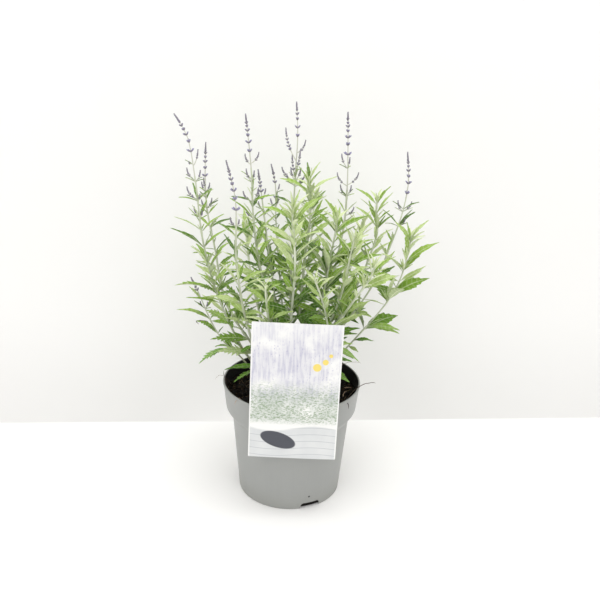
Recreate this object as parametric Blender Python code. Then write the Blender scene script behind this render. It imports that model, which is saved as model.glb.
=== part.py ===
"""Potted Russian sage: toothed leafy stems and lavender flower spikes in a grey nursery pot.

The pot stands on z = 0 with its axis on the origin, and the picture label hangs on its
front, towards -Y. All sizes in this file are millimetres, and solids are made in metres.
"""

import math
from collections import namedtuple

import bmesh
import bpy
import numpy as np

MM = 0.001
GAP = 0.3

# Pot: tapered body, rounded step, straight collar and a rolled rim.
POT_HEIGHT = 130.0
POT_RIM_RADIUS = 75.0
POT_FOOT_RADIUS = 56.5
POT_WALL = 1.3
POT_FLOOR = 2.0
POT_SIDES = 32
STEP_BOTTOM = (64.2, 88.5)
STEP_TOP = (71.6, 102.5)
STEP_POINTS = 3
RIM_BEAD = 1.6

# Drain notches through the lower edge of the pot.
NOTCH_COUNT = 3
NOTCH_WIDTH = 23.0
NOTCH_HEIGHT = 7.0
NOTCH_INNER_RADIUS = 48.0
NOTCH_FIRST_DEG = -65.0

# Soil inside the pot, with a plain hole for each stem and a slot for the stake.
SOIL_TOP = 116.0
SOIL_RINGS = (30.0, 54.0)
SOIL_SHRINK = 0.6
FOOT_DEPTH = 13.0

# Picture label: a card that leans on the rim and the stake that holds it.
CARD_WIDTH = 90.0
CARD_LENGTH = 150.0
CARD_THICKNESS = 0.8
CARD_CENTRE = (3.4, 151.8)
CARD_TURN_DEG = 1.0
CARD_CORNER = 2.5
STAKE_WIDTH = 9.0
STAKE_THICKNESS = 1.2
STAKE_X = 4.0
STAKE_SIDE = ((-62.0, 94.0), (-62.0, 121.0), (-73.9, 176.0), (-73.9, 226.0))
STAKE_TIP = (-73.9, 231.0)

# Stems: square tubes, thicker at the foot, in square holes of the soil.
STEM_SIDES = 4
STEM_FOOT_RADIUS = 1.8
STEM_TOP_RADIUS = 0.95
HOLE_SPARE = 0.35

# Space that is kept free round every stem, leaf and spike of another node.
CELL = 2.0
SPACE_LOW = np.array((-190.0, -160.0, 90.0))
SPACE_CELLS = (190, 160, 180)
LABEL_OWNER = 99

# Flower spikes: a thin stalk with whorls of narrow buds, closer together near the tip.
SPIKE_SIDES = 4
SPIKE_RADIUS = 0.85
SPIKE_TAPER = 9.5
SPIKE_FIRST_GAP = 3.4
SPIKE_GAP_GROWTH = 1.2
SPIKE_LAST_GAP = 9.0
WHORL_HEIGHT = 1.3
BUD_LENGTH = 5.8
BUD_WIDTH = 2.7

SEED = 41

# A stem has its route from the soil up, the height where its flower spike begins or None,
# the height of its lowest leaves, the compass turn of its first pair of leaves in degrees
# and the length of its largest leaves.
Stem = namedtuple("Stem", "route bloom_from leaf_from turn leaf_length")

STEMS = {
    "01": Stem([(-29, 5, 116), (-56, -5, 171), (-82, -15, 240), (-92, -20, 285), (-99, -25, 353),
                (-103, -25, 382), (-106, -25, 395), (-111, -25, 405), (-118, -25, 416)], 357, 160, 20, 44),
    "02": Stem([(-24, 14, 116), (-74, 12, 216), (-85, 12, 277), (-92, 14, 312), (-94, 15, 351),
                (-93, 15, 383)], 334, 190, 60, 37),
    "03": Stem([(-31, -10, 116), (-45, -28, 195), (-52, -38, 231), (-57, -50, 279), (-59, -60, 353),
                (-66, -60, 380)], 326, 166, 10, 46),
    "04": Stem([(-17, 5, 116), (-29, -5, 231), (-38, -12, 273), (-43, -18, 319), (-45, -20, 362),
                (-48, -20, 392), (-51, -20, 417)], 366, 178, 0, 42),
    "05": Stem([(-13, 18, 116), (-34, 28, 306), (-37, 30, 327), (-41, 30, 354)], 326, 170, 45, 39),
    "06": Stem([(-7, 24, 116), (-22, 44, 300), (-24, 45, 340), (-28, 45, 357)], 330, 180, 90, 39),
    "07": Stem([(-2, 12, 116), (-4, 12, 274), (-3, 10, 328), (-2, 10, 362), (-1, 10, 393),
                (-3, 10, 426)], 362, 186, 5, 39),
    "08": Stem([(9, 18, 116), (45, 15, 269), (50, 15, 307), (51, 15, 344), (50, 15, 377),
                (48, 15, 417)], 339, 190, 30, 39),
    "09": Stem([(18, 5, 116), (85, 5, 246), (99, 2, 288), (108, 0, 324), (111, 0, 351),
                (108, 0, 382)], 335, 196, 75, 37),
    "10": Stem([(-4, -12, 116), (-2, -30, 223), (0, -45, 279), (-3, -52, 320), (-4, -54, 337)],
               None, 150, 0, 48),
    "11": Stem([(5, 3, 116), (10, 5, 266), (14, 0, 315), (12, 0, 352)],
               None, 176, 40, 43),
    "12": Stem([(13, -5, 116), (30, -15, 233), (36, -22, 283), (40, -25, 313), (40, -25, 323)],
               None, 160, 15, 48),
    "13": Stem([(23, 18, 116), (77, 20, 261), (85, 20, 294), (83, 20, 313), (83, 20, 332)],
               None, 190, 10, 39),
    "14": Stem([(29, 0, 116), (67, -5, 183), (79, -6, 199), (96, -8, 224), (108, -10, 250),
                (115, -10, 282), (117, -10, 300)], None, 192, 35, 52),
    "15": Stem([(18, -14, 116), (51, -30, 257), (56, -35, 293), (58, -35, 305)], None, 168, 60, 52),
    "16": Stem([(12, -22, 116), (47, -38, 216), (62, -44, 244), (74, -50, 267), (79, -50, 283)],
               None, 150, 20, 43),
    "17": Stem([(33, -27, 116), (34, -47, 217), (26, -55, 249), (19, -60, 268)], None, 146, 70, 44),
    "18": Stem([(-36, 0, 116), (-58, -8, 161), (-72, -10, 175), (-84, -10, 194), (-92, -10, 212),
                (-98, -10, 228), (-107, -10, 248)], 227, 166, 80, 35),
    "19": Stem([(-20, 30, 116), (-48, 62, 220), (-55, 74, 265), (-57, 78, 287)], None, 170, 25, 52),
    "20": Stem([(6, 32, 116), (14, 66, 220), (18, 84, 280), (20, 90, 318)], None, 165, 65, 52),
    "21": Stem([(24, 30, 116), (54, 58, 215), (70, 68, 265), (76, 70, 296)], None, 165, 15, 52),
    "22": Stem([(-8, -26, 116), (-20, -46, 190), (-26, -58, 232), (-28, -64, 262)],
               None, 140, 50, 43),
}

# Side branches of flower spikes: where each leaves its stem and where it ends.
SPIKE_BRANCHES = {
    "01": [((-100, -25, 367), (-96, -25, 383))],
    "04": [((-46, -20, 369), (-51, -24, 380)), ((-46, -20, 370), (-38, -18, 381))],
    "07": [((-2, 10, 368), (-13, 15, 400)), ((-1, 10, 376), (7, 5, 390))],
    "08": [((51, 15, 343), (40, 12, 357)), ((51, 15, 344), (62, 16, 357))],
}

# Leaves placed by eye: the height of the root, the tip, and the kind of blade.
PLACED_LEAVES = {
    "01": [(284, (-126, -20, 303), "narrow"), (332, (-116, -25, 336), "narrow"),
           (310, (-107, -22, 325), "narrow"), (333, (-84, -15, 343), "narrow"),
           (285, (-72, -15, 301), "toothed"), (262, (-103, -30, 290), "lobed"),
           (236, (-121, -20, 250), "toothed"), (260, (-72, -30, 286), "toothed")],
    "02": [(295, (-66, 5, 308), "narrow"), (315, (-80, 10, 328), "narrow")],
    "03": [(186, (-85, -40, 191), "lobed"), (199, (-69, -44, 220), "toothed"),
           (151, (-73, -20, 148), "narrow"), (147, (-62, -32, 141), "toothed"),
           (231, (-72, -45, 256), "toothed"), (254, (-26, -62, 275), "toothed")],
    "04": [(293, (-70, -35, 311), "toothed"), (332, (-65, -18, 336), "narrow"),
           (332, (-21, -18, 339), "narrow")],
    "09": [(324, (96, 0, 332), "narrow"), (324, (122, 0, 335), "narrow"),
           (306, (118, 0, 324), "narrow"), (306, (90, 0, 310), "narrow")],
    "10": [(322, (25, -60, 350), "toothed"), (323, (-33, -60, 339), "toothed"),
           (300, (-32, -55, 318), "toothed"), (300, (25, -65, 318), "toothed"),
           (252, (26, -75, 262), "lobed"), (240, (-28, -72, 262), "lobed")],
    "11": [(339, (40, -5, 357), "toothed"), (337, (-17, -10, 356), "toothed")],
    "12": [(320, (27, -30, 340), "narrow"), (303, (73, -35, 327), "toothed"),
           (265, (79, -45, 300), "lobed"), (258, (6, -40, 304), "lobed"),
           (262, (27, -48, 297), "toothed")],
    "13": [(323, (59, 15, 341), "toothed"), (323, (95, 15, 345), "narrow"),
           (313, (100, 25, 336), "narrow"), (298, (61, 10, 324), "toothed"),
           (297, (102, 22, 313), "toothed"), (283, (102, 18, 299), "toothed")],
    "14": [(271, (146, -12, 294), "toothed"), (234, (139, -14, 256), "lobed"),
           (296, (134, -5, 316), "narrow"), (286, (131, 0, 296), "narrow"),
           (292, (111, -14, 315), "narrow"), (229, (101, -22, 262), "lobed"),
           (197, (112, -18, 199), "toothed"), (180, (84, -18, 186), "toothed")],
    "15": [(293, (48, -42, 317), "narrow"), (296, (72, -30, 318), "narrow"),
           (186, (71, -14, 200), "toothed")],
    "16": [(270, (69, -58, 300), "toothed"), (270, (97, -55, 292), "toothed"),
           (168, (65, -20, 163), "narrow")],
    "17": [(190, (69, -28, 176), "toothed")],
    "18": [(202, (-122, -15, 216), "toothed"), (170, (-99, -30, 160), "lobed"),
           (190, (-100, -22, 205), "toothed")],
}

# A kind of blade has its teeth on each side, how deep they are cut and its width by length.
Blade = namedtuple("Blade", "teeth cut breadth")
BLADES = {
    "lobed": Blade(4, 0.50, 0.36),
    "toothed": Blade(3, 0.62, 0.29),
    "narrow": Blade(2, 0.80, 0.21),
    "tuft": Blade(1, 1.0, 0.27),
}
BLADE_KEEL = 1.2
NODE_SPACING = 37.0
TUFT_LEAVES = 4
LEAF_TRIES_LENGTH = (1.0, 0.82, 0.64)
LEAF_TRIES_LIFT = (0.0, 14.0, -14.0, 28.0)
LEAF_TRIES_TURN = (0.0, 14.0, -14.0, 28.0, -28.0, 44.0, -44.0)
PLACED_TRIES_DEPTH = (0.0, -7.0, 7.0, -14.0, 14.0, -21.0, 21.0, -28.0, 28.0)
PLACED_TRIES_ARCH = (0.12, 0.2, 0.04, 0.28)

# A leaf is a quadratic curve of three points with the way its upper face looks.
Leaf = namedtuple("Leaf", "curve facing kind")

# Finishes: base colour, roughness.
FINISHES = {
    "pot": ((0.33, 0.34, 0.33), 0.50),
    "soil": ((0.030, 0.022, 0.016), 0.95),
    "card": ((0.82, 0.83, 0.83), 0.35),
    "leaf": ((0.19, 0.28, 0.11), 0.60),
    "spike": ((0.27, 0.24, 0.42), 0.70),
}


def finish(name, kind):
    """Make a material of its own for one piece."""
    colour, roughness = FINISHES[kind]
    material = bpy.data.materials.new(name + "_finish")
    material.use_nodes = True
    shader = material.node_tree.nodes["Principled BSDF"]
    shader.inputs["Base Color"].default_value = (*colour, 1.0)
    shader.inputs["Roughness"].default_value = roughness
    shader.inputs["Metallic"].default_value = 0.0
    material.diffuse_color = (*colour, 1.0)
    return material


def add_solid(name, points, faces, kind=None, collection=None):
    """Make an object from points in millimetres, with its faces turned outwards."""
    mesh = bpy.data.meshes.new(name)
    mesh.from_pydata((np.asarray(points) * MM).tolist(), [], faces)
    shell = bmesh.new()
    shell.from_mesh(mesh)
    bmesh.ops.recalc_face_normals(shell, faces=shell.faces)
    shell.to_mesh(mesh)
    shell.free()
    solid = bpy.data.objects.new(name, mesh)
    (collection or bpy.context.scene.collection).objects.link(solid)
    if kind:
        mesh.materials.append(finish(name, kind))
    return solid


def round_shading(solid, angle_deg=40.0):
    """Shade round faces smooth and keep the true edges sharp."""
    solid.data.shade_smooth()
    solid.data.set_sharp_from_angle(angle=math.radians(angle_deg))


def unit(vector):
    """Return a vector, or rows of vectors, at length one."""
    vector = np.asarray(vector, dtype=float)
    return vector / np.linalg.norm(vector, axis=-1, keepdims=True)


def lathe(profile, sides):
    """Turn a closed profile that begins and ends on the axis. Return points and faces."""
    ends = [(0.0, 0.0, profile[0][1]), (0.0, 0.0, profile[-1][1])]
    angles = np.arange(sides) * 2 * np.pi / sides
    points = list(ends)
    for radius, height in profile[1:-1]:
        points += [(radius * math.cos(a), radius * math.sin(a), height) for a in angles]
    faces = []
    rings = len(profile) - 2
    for side in range(sides):
        turn = (side + 1) % sides
        faces.append((0, 2 + side, 2 + turn))
        for ring in range(rings - 1):
            low = 2 + ring * sides
            high = low + sides
            faces.append((low + side, high + side, high + turn, low + turn))
        last = 2 + (rings - 1) * sides
        faces.append((1, last + turn, last + side))
    return points, faces


def ease(share):
    """Smooth step from 0 to 1."""
    return share * share * (3.0 - 2.0 * share)


def pot_wall(offset):
    """Points up the pot's wall, moved in by the offset."""
    (low_r, low_z), (high_r, high_z) = STEP_BOTTOM, STEP_TOP
    wall = []
    for point in range(STEP_POINTS + 1):
        share = point / STEP_POINTS
        radius = low_r + (high_r - low_r) * ease(share)
        wall.append((radius - offset, low_z + (high_z - low_z) * share))
    return wall


def pot_radius_inside(height):
    """Inner radius of the pot at a height, by straight lines between the wall's points."""
    wall = [(POT_FOOT_RADIUS, 0.0)] + pot_wall(0.0) + [(POT_RIM_RADIUS - 0.6, POT_HEIGHT - RIM_BEAD * 2)]
    radii, heights = zip(*wall)
    return float(np.interp(height, heights, radii)) - POT_WALL


def make_pot():
    """The nursery pot: one turned shell with a flat base and notches at its foot."""
    rim_z = POT_HEIGHT
    outside = [(0.0, 0.0), (POT_FOOT_RADIUS - 1.2, 0.0), (POT_FOOT_RADIUS, 1.4)] + pot_wall(0.0)
    rim = [(POT_RIM_RADIUS - 0.7, rim_z - RIM_BEAD * 2), (POT_RIM_RADIUS, rim_z - RIM_BEAD),
           (POT_RIM_RADIUS - 0.5, rim_z), (POT_RIM_RADIUS - 1.6, rim_z),
           (POT_RIM_RADIUS - 2.0, rim_z - RIM_BEAD * 2)]
    inside = list(reversed(pot_wall(POT_WALL)))
    floor = [(pot_radius_inside(POT_FLOOR), POT_FLOOR), (0.0, POT_FLOOR)]
    pot = add_solid("pot", *lathe(outside + rim + inside + floor, POT_SIDES), kind="pot")
    round_shading(pot, 50.0)
    cutter = notch_cutter()
    notches = pot.modifiers.new("Drain notches", "BOOLEAN")
    notches.operation = "DIFFERENCE"
    notches.object = cutter
    return pot


def notch_cutter():
    """Arched blocks that cut the drain notches through the wall and the edge of the floor."""
    half = NOTCH_WIDTH / 2
    arch = [(-half, -1.0), (half, -1.0), (half, NOTCH_HEIGHT * 0.6), (half * 0.7, NOTCH_HEIGHT),
            (-half * 0.7, NOTCH_HEIGHT), (-half, NOTCH_HEIGHT * 0.6)]
    points, faces = [], []
    for notch in range(NOTCH_COUNT):
        angle = math.radians(NOTCH_FIRST_DEG + notch * 360.0 / NOTCH_COUNT)
        out = np.array((math.cos(angle), math.sin(angle), 0.0))
        side = np.array((-math.sin(angle), math.cos(angle), 0.0))
        start = len(points)
        for reach in (NOTCH_INNER_RADIUS, POT_FOOT_RADIUS + 6.0):
            points += [out * reach + side * across + np.array((0, 0, up)) for across, up in arch]
        count = len(arch)
        faces.append(tuple(start + corner for corner in reversed(range(count))))
        faces.append(tuple(start + count + corner for corner in range(count)))
        for corner in range(count):
            after = (corner + 1) % count
            faces.append((start + corner, start + after, start + count + after,
                          start + count + corner))
    cutter = add_solid("notch_cutter", points, faces)
    cutter.hide_render = True
    cutter.display_type = "WIRE"
    return cutter


def soil_height(x, y):
    """Height of the uneven soil surface: two crossed waves."""
    return SOIL_TOP + 0.9 * np.sin(0.11 * x + 0.5) * np.cos(0.13 * y) + 0.5 * np.sin(0.21 * x - 0.17 * y)


def make_soil(stems):
    """The soil: it fills the pot and has a plain hole for each stem and the stake's slot."""
    def wall_point(height):
        return (pot_radius_inside(height) - SOIL_SHRINK, height)

    top = [(0.0, SOIL_TOP)] + [(radius, SOIL_TOP) for radius in SOIL_RINGS]
    wall = [wall_point(SOIL_TOP), wall_point(STEP_TOP[1] + 1.5), wall_point(STEP_TOP[1] - 5.0),
            wall_point(STEP_BOTTOM[1] + 4.0), wall_point(STEP_BOTTOM[1] - 1.0)]
    bottom = POT_FLOOR + GAP
    base = [wall_point(bottom), (0.0, bottom)]
    points, faces = lathe(top + wall + base, POT_SIDES)
    raised = np.array(points)
    surface = raised[:, 2] == SOIL_TOP
    raised[surface, 2] = soil_height(raised[surface, 0], raised[surface, 1])
    faces = [part for face in faces for part in split_quad(face)]
    soil = add_solid("soil", raised, faces, kind="soil")
    cutter = soil_cutter(stems)
    holes = soil.modifiers.new("Stem holes", "BOOLEAN")
    holes.operation = "DIFFERENCE"
    holes.object = cutter
    return soil


def split_quad(face):
    """Split a face of four corners into two triangles."""
    if len(face) == 3:
        return [face]
    return [(face[0], face[1], face[2]), (face[0], face[2], face[3])]


def prism(outline, low, high, start):
    """Points and faces of an upright prism, numbered from start."""
    count = len(outline)
    points = [(x, y, low) for x, y in outline] + [(x, y, high) for x, y in outline]
    faces = [tuple(start + corner for corner in reversed(range(count))),
             tuple(start + count + corner for corner in range(count))]
    for corner in range(count):
        after = (corner + 1) % count
        faces.append((start + corner, start + after, start + count + after, start + count + corner))
    return points, faces


def soil_cutter(stems):
    """Upright prisms, one for each stem's foot, and a slot for the stake."""
    points, faces = [], []
    radius = STEM_FOOT_RADIUS + HOLE_SPARE / math.cos(math.pi / STEM_SIDES)
    low = SOIL_TOP - FOOT_DEPTH - GAP
    high = SOIL_TOP + 6.0
    for stem in stems.values():
        x, y = stem.route[0][:2]
        angles = [side * 2 * math.pi / STEM_SIDES for side in range(STEM_SIDES)]
        outline = [(x + radius * math.cos(a), y + radius * math.sin(a)) for a in angles]
        more_points, more_faces = prism(outline, low, high, len(points))
        points += more_points
        faces += more_faces
    half_x = STAKE_WIDTH / 2 + HOLE_SPARE
    half_y = STAKE_THICKNESS / 2 + HOLE_SPARE
    side_y, low_z = STAKE_SIDE[0]
    slot = [(STAKE_X - half_x, side_y - half_y), (STAKE_X + half_x, side_y - half_y),
            (STAKE_X + half_x, side_y + half_y), (STAKE_X - half_x, side_y + half_y)]
    more_points, more_faces = prism(slot, low_z - GAP, high, len(points))
    cutter = add_solid("soil_cutter", points + more_points, faces + more_faces)
    cutter.hide_render = True
    cutter.display_type = "WIRE"
    return cutter


def make_card():
    """The label card: a thin upright plate with clipped corners that leans on the rim."""
    half_w, half_l, clip = CARD_WIDTH / 2, CARD_LENGTH / 2, CARD_CORNER
    outline = []
    for sign_x, sign_z in ((1, -1), (1, 1), (-1, 1), (-1, -1)):
        near = (sign_x * (half_w - clip), sign_z * half_l)
        far = (sign_x * half_w, sign_z * (half_l - clip))
        middle = (sign_x * (half_w - clip * 0.3), sign_z * (half_l - clip * 0.3))
        corner = [near, middle, far] if sign_x * sign_z < 0 else [far, middle, near]
        outline += corner
    turn = math.radians(CARD_TURN_DEG)
    back = -(POT_RIM_RADIUS + GAP)
    points = []
    for y in (back - CARD_THICKNESS, back):
        for x, z in outline:
            across = x * math.cos(turn) + z * math.sin(turn)
            up = z * math.cos(turn) - x * math.sin(turn)
            points.append((CARD_CENTRE[0] + across, y, CARD_CENTRE[1] + up))
    count = len(outline)
    faces = [tuple(range(count)), tuple(reversed(range(count, 2 * count)))]
    for corner in range(count):
        after = (corner + 1) % count
        faces.append((corner, count + corner, count + after, after))
    return add_solid("label_card", points, faces, kind="card")


def make_stake():
    """The stake: a bent strip from the soil to behind the card, with a pointed top."""
    half_w, half_t = STAKE_WIDTH / 2, STAKE_THICKNESS / 2
    points = []
    for y, z in STAKE_SIDE:
        for sign_x, sign_y in ((-1, -1), (1, -1), (1, 1), (-1, 1)):
            points.append((STAKE_X + sign_x * half_w, y + sign_y * half_t, z))
    tip_y, tip_z = STAKE_TIP
    points += [(STAKE_X, tip_y - half_t, tip_z), (STAKE_X, tip_y + half_t, tip_z)]
    faces = [(3, 2, 1, 0)]
    for level in range(len(STAKE_SIDE) - 1):
        low = level * 4
        for corner in range(4):
            after = (corner + 1) % 4
            faces.append((low + corner, low + after, low + 4 + after, low + 4 + corner))
    top = (len(STAKE_SIDE) - 1) * 4
    front, rear = top + 4, top + 5
    faces += [(top, top + 1, front), (top + 2, top + 3, rear), (top + 1, top + 2, rear, front),
              (top + 3, top, front, rear)]
    return add_solid("label_stake", points, faces, kind="card")


def stem_line(stem):
    """The stem's centre line: straight up through its hole, then along its route."""
    x, y, ground = stem.route[0]
    return np.array([(x, y, SOIL_TOP - FOOT_DEPTH), (x, y, ground + 1.5), *stem.route[1:]], dtype=float)


def at_height(line, height):
    """The point of a rising line at a height."""
    return np.array([np.interp(height, line[:, 2], line[:, axis]) for axis in range(3)])


def leafy_line(stem):
    """The part of the centre line below the flower spike."""
    line = stem_line(stem)
    if stem.bloom_from is None:
        return line
    return np.vstack([line[line[:, 2] < stem.bloom_from - 2.0], at_height(line, stem.bloom_from)])


def spike_line(stem):
    """The part of the centre line that carries flowers, just clear of the leafy part."""
    line = stem_line(stem)
    foot = at_height(line, stem.bloom_from)
    rest = line[line[:, 2] > stem.bloom_from + 2.0]
    start = foot + unit(rest[0] - foot) * GAP
    return np.vstack([start, rest])


def walk(line, spacing):
    """Points along a line at even spacing."""
    lengths = np.concatenate([[0.0], np.cumsum(np.linalg.norm(np.diff(line, axis=0), axis=1))])
    places = np.arange(0.0, lengths[-1], spacing)
    return np.stack([np.interp(places, lengths, line[:, axis]) for axis in range(3)], axis=1)


def tube_rings(line, radii, sides, turn=0.0):
    """Rings of points square to a line, without twist from one ring to the next."""
    steps = np.diff(line, axis=0)
    tangents = unit(np.vstack([steps[0], steps[:-1] + steps[1:], steps[-1]]))
    side = np.array((math.cos(turn), math.sin(turn), 0.0))
    rings = []
    for point, tangent, radius in zip(line, tangents, radii):
        side = unit(side - tangent * np.dot(side, tangent))
        other = np.cross(tangent, side)
        angles = np.arange(sides) * 2 * np.pi / sides
        rings.append(point + radius * (np.outer(np.cos(angles), side) + np.outer(np.sin(angles), other)))
    return rings


def tube(line, radii, sides, pointed=False, turn=0.0):
    """Points and triangles of a closed tube, with flat ends or a pointed far end."""
    rings = tube_rings(line, radii, sides, turn)
    if pointed:
        rings = rings[:-1]
    points = np.vstack(rings)
    faces = []
    for ring in range(len(rings) - 1):
        low = ring * sides
        for side in range(sides):
            after = (side + 1) % sides
            faces += [(low + side, low + after, low + sides + after),
                      (low + side, low + sides + after, low + sides + side)]
    faces += [(0, side + 1, side) for side in range(1, sides - 1)]
    top = (len(rings) - 1) * sides
    if pointed:
        points = np.vstack([points, line[-1]])
        faces += [(top + side, top + (side + 1) % sides, len(points) - 1) for side in range(sides)]
    else:
        faces += [(top, top + side, top + side + 1) for side in range(1, sides - 1)]
    return points, faces


class Space:
    """Cells round the plant that remember which node fills them."""

    def __init__(self):
        self.cells = np.zeros(SPACE_CELLS, dtype=np.int16)
        self.blades = np.zeros(SPACE_CELLS, dtype=np.int16)
        self.blade_count = 0

    def places(self, points):
        """Cell numbers of points."""
        cells = np.floor((points - SPACE_LOW) / CELL).astype(int)
        return np.clip(cells, 1, np.array(SPACE_CELLS) - 2)

    def fill(self, points, owner):
        """Give the cells of these points, and the cells next to them, to an owner."""
        near = np.array([(i, j, k) for i in (-1, 0, 1) for j in (-1, 0, 1) for k in (-1, 0, 1)])
        places = np.unique((self.places(points)[:, None, :] + near[None]).reshape(-1, 3), axis=0)
        index = tuple(places.T)
        held = self.cells[index]
        self.cells[index] = np.where((held == 0) | (held == owner), owner, -1)

    def fill_blade(self, points):
        """Remember the cells of one blade."""
        self.blade_count += 1
        self.blades[tuple(self.places(points).T)] = self.blade_count

    def free(self, points, outer_points, owner):
        """Whether points lie clear of other nodes, and the outer ones of other blades."""
        held = self.cells[tuple(self.places(points).T)]
        if np.any((held != 0) & (held != owner)):
            return False
        return not np.any(self.blades[tuple(self.places(outer_points).T)])


def bezier(curve, t):
    """Points of a quadratic curve."""
    t = np.asarray(t, dtype=float)[:, None]
    start, middle, end = curve
    return start * (1 - t) ** 2 + 2 * middle * t * (1 - t) + end * t ** 2


def bezier_way(curve, t):
    """Directions along a quadratic curve."""
    t = np.asarray(t, dtype=float)[:, None]
    start, middle, end = curve
    return unit((middle - start) * (1 - t) + (end - middle) * t)


def blade_frame(leaf, t):
    """Midrib points, side directions and upward directions of a blade."""
    ways = bezier_way(leaf.curve, t)
    sides = unit(np.cross(ways, leaf.facing))
    return bezier(leaf.curve, t), sides, np.cross(sides, ways)


def blade_length(leaf):
    """Length of the midrib, near enough."""
    start, middle, end = leaf.curve
    return (np.linalg.norm(middle - start) + np.linalg.norm(end - middle)
            + np.linalg.norm(end - start)) / 2


def blade_width(leaf, t):
    """Half width of a blade without its teeth: widest before the middle."""
    reach = blade_length(leaf) * BLADES[leaf.kind].breadth / 2
    return reach * np.sin(np.pi * np.clip(t, 0, 1) ** 0.8) ** 0.7


def blade_cells(leaf):
    """Points all over a blade, close enough to fill its cells."""
    t = np.linspace(0.0, 1.0, 2 + int(blade_length(leaf) / 1.5))
    middle, sides, _ = blade_frame(leaf, t)
    half = blade_width(leaf, t)[:, None]
    across = np.linspace(-1.0, 1.0, 11)
    return np.stack([middle + sides * half * share for share in across]), t


def blade_mesh(leaf):
    """A toothed blade: two edges and a keel below, pointed at its root and its tip."""
    kind = BLADES[leaf.kind]
    teeth = np.linspace(0.30, 0.78, kind.teeth) if kind.teeth > 1 else np.array([0.45])
    notches = teeth[:-1] * 0.35 + teeth[1:] * 0.65 - 0.09
    stations = np.sort(np.concatenate([teeth, notches]))
    half = blade_width(leaf, stations)
    half[1::2] *= kind.cut
    keel = np.interp(stations, [0.3, 1.0], [BLADE_KEEL, BLADE_KEEL * 0.55])
    middle, sides, ups = blade_frame(leaf, stations)
    left = middle + sides * half[:, None]
    right = middle - sides * half[:, None]
    below = middle - ups * keel[:, None]
    body = np.stack([left, right, below], axis=1).reshape(-1, 3)
    points = np.vstack([leaf.curve[0], body, leaf.curve[2]])
    tip = len(points) - 1
    faces = []
    for corner in range(3):
        after = (corner + 1) % 3
        faces += [(0, 1 + corner, 1 + after), (tip - 3 + corner, tip - 3 + after, tip)]
        for low in range(1, tip - 5, 3):
            faces += [(low + corner, low + after, low + 3 + after),
                      (low + corner, low + 3 + after, low + 3 + corner)]
    return points, faces


def try_leaf(leaf, owner, space, leaves):
    """Add a leaf if it lies clear of everything that is there already."""
    cells, t = blade_cells(leaf)
    if cells[..., 2].min() < SOIL_TOP + 5.0:
        return False
    body = cells[:, t > 0.1].reshape(-1, 3)
    outer = cells[:, t > 0.4].reshape(-1, 3)
    if not space.free(body, outer, owner):
        return False
    space.fill(cells.reshape(-1, 3), owner)
    space.fill_blade(cells[:, t > 0.25].reshape(-1, 3))
    leaves.append(leaf)
    return True


def leaf_facing(way, roll):
    """Upper face of a leaf: up, a little to the front and in towards the stem, then rolled."""
    flat = np.array((way[0], way[1], 0.0))
    facing = np.array((0.0, -0.45, 1.0)) - 0.5 * flat
    facing = unit(facing - way * np.dot(facing, way))
    side = np.cross(way, facing)
    return facing * math.cos(roll) + side * math.sin(roll)


def place_by_eye(stem, wanted, owner, space, leaves, rng):
    """Place one leaf with a chosen tip, moved only in depth or arched to find room."""
    height, tip, kind = wanted
    root = at_height(stem_line(stem), height)
    roll = rng.uniform(-0.35, 0.35)
    for arch in PLACED_TRIES_ARCH:
        for depth in PLACED_TRIES_DEPTH:
            end = np.array(tip, dtype=float) + np.array((0.0, depth, 0.0))
            chord = end - root
            length = np.linalg.norm(chord)
            lift = np.array((0.0, 0.0, 1.0)) - unit(chord) * unit(chord)[2]
            middle = (root + end) / 2 + lift * arch * length * 2
            leaf = Leaf(np.array([root, middle, end]), leaf_facing(unit(chord), roll), kind)
            if try_leaf(leaf, owner, space, leaves):
                return


def place_by_rule(root, turn, lift, length, kind, owner, space, leaves, rng):
    """Place one leaf at a compass turn and rise in degrees, moved a little to find room."""
    roll = rng.uniform(-0.4, 0.4)
    droop = rng.uniform(35.0, 60.0)
    for share in LEAF_TRIES_LENGTH:
        for more_lift in LEAF_TRIES_LIFT:
            for more_turn in LEAF_TRIES_TURN:
                compass = math.radians(turn + more_turn)
                flat = np.array((math.cos(compass), math.sin(compass), 0.0))
                curve = [root]
                for rise in (lift + more_lift, lift + more_lift - droop):
                    angle = math.radians(rise)
                    step = flat * math.cos(angle) + np.array((0.0, 0.0, math.sin(angle)))
                    curve.append(curve[-1] + step * length * share / 2)
                way = unit(curve[2] - curve[0])
                leaf = Leaf(np.array(curve), leaf_facing(way, roll), kind)
                if try_leaf(leaf, owner, space, leaves):
                    return


def kind_of(length):
    """Kind of blade by its length."""
    if length > 46.0:
        return "lobed"
    return "toothed" if length > 36.0 else "narrow"


def keep_label_free(space):
    """Keep the leaves off the card and the stake."""
    across, up = np.meshgrid(np.arange(-CARD_WIDTH / 2, CARD_WIDTH / 2 + 1, 1.5),
                             np.arange(-CARD_LENGTH / 2, CARD_LENGTH / 2 + 1, 1.5))
    flat = np.full(across.size, -POT_RIM_RADIUS - GAP)
    card = np.column_stack([across.ravel() + CARD_CENTRE[0], flat, up.ravel() + CARD_CENTRE[1]])
    space.fill(card, LABEL_OWNER)
    stake = walk(np.array([(STAKE_X, y, z) for y, z in STAKE_SIDE + (STAKE_TIP,)]), 1.5)
    for shift in np.linspace(-STAKE_WIDTH / 2, STAKE_WIDTH / 2, 7):
        space.fill(stake + np.array((shift, 0.0, 0.0)), LABEL_OWNER)


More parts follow.
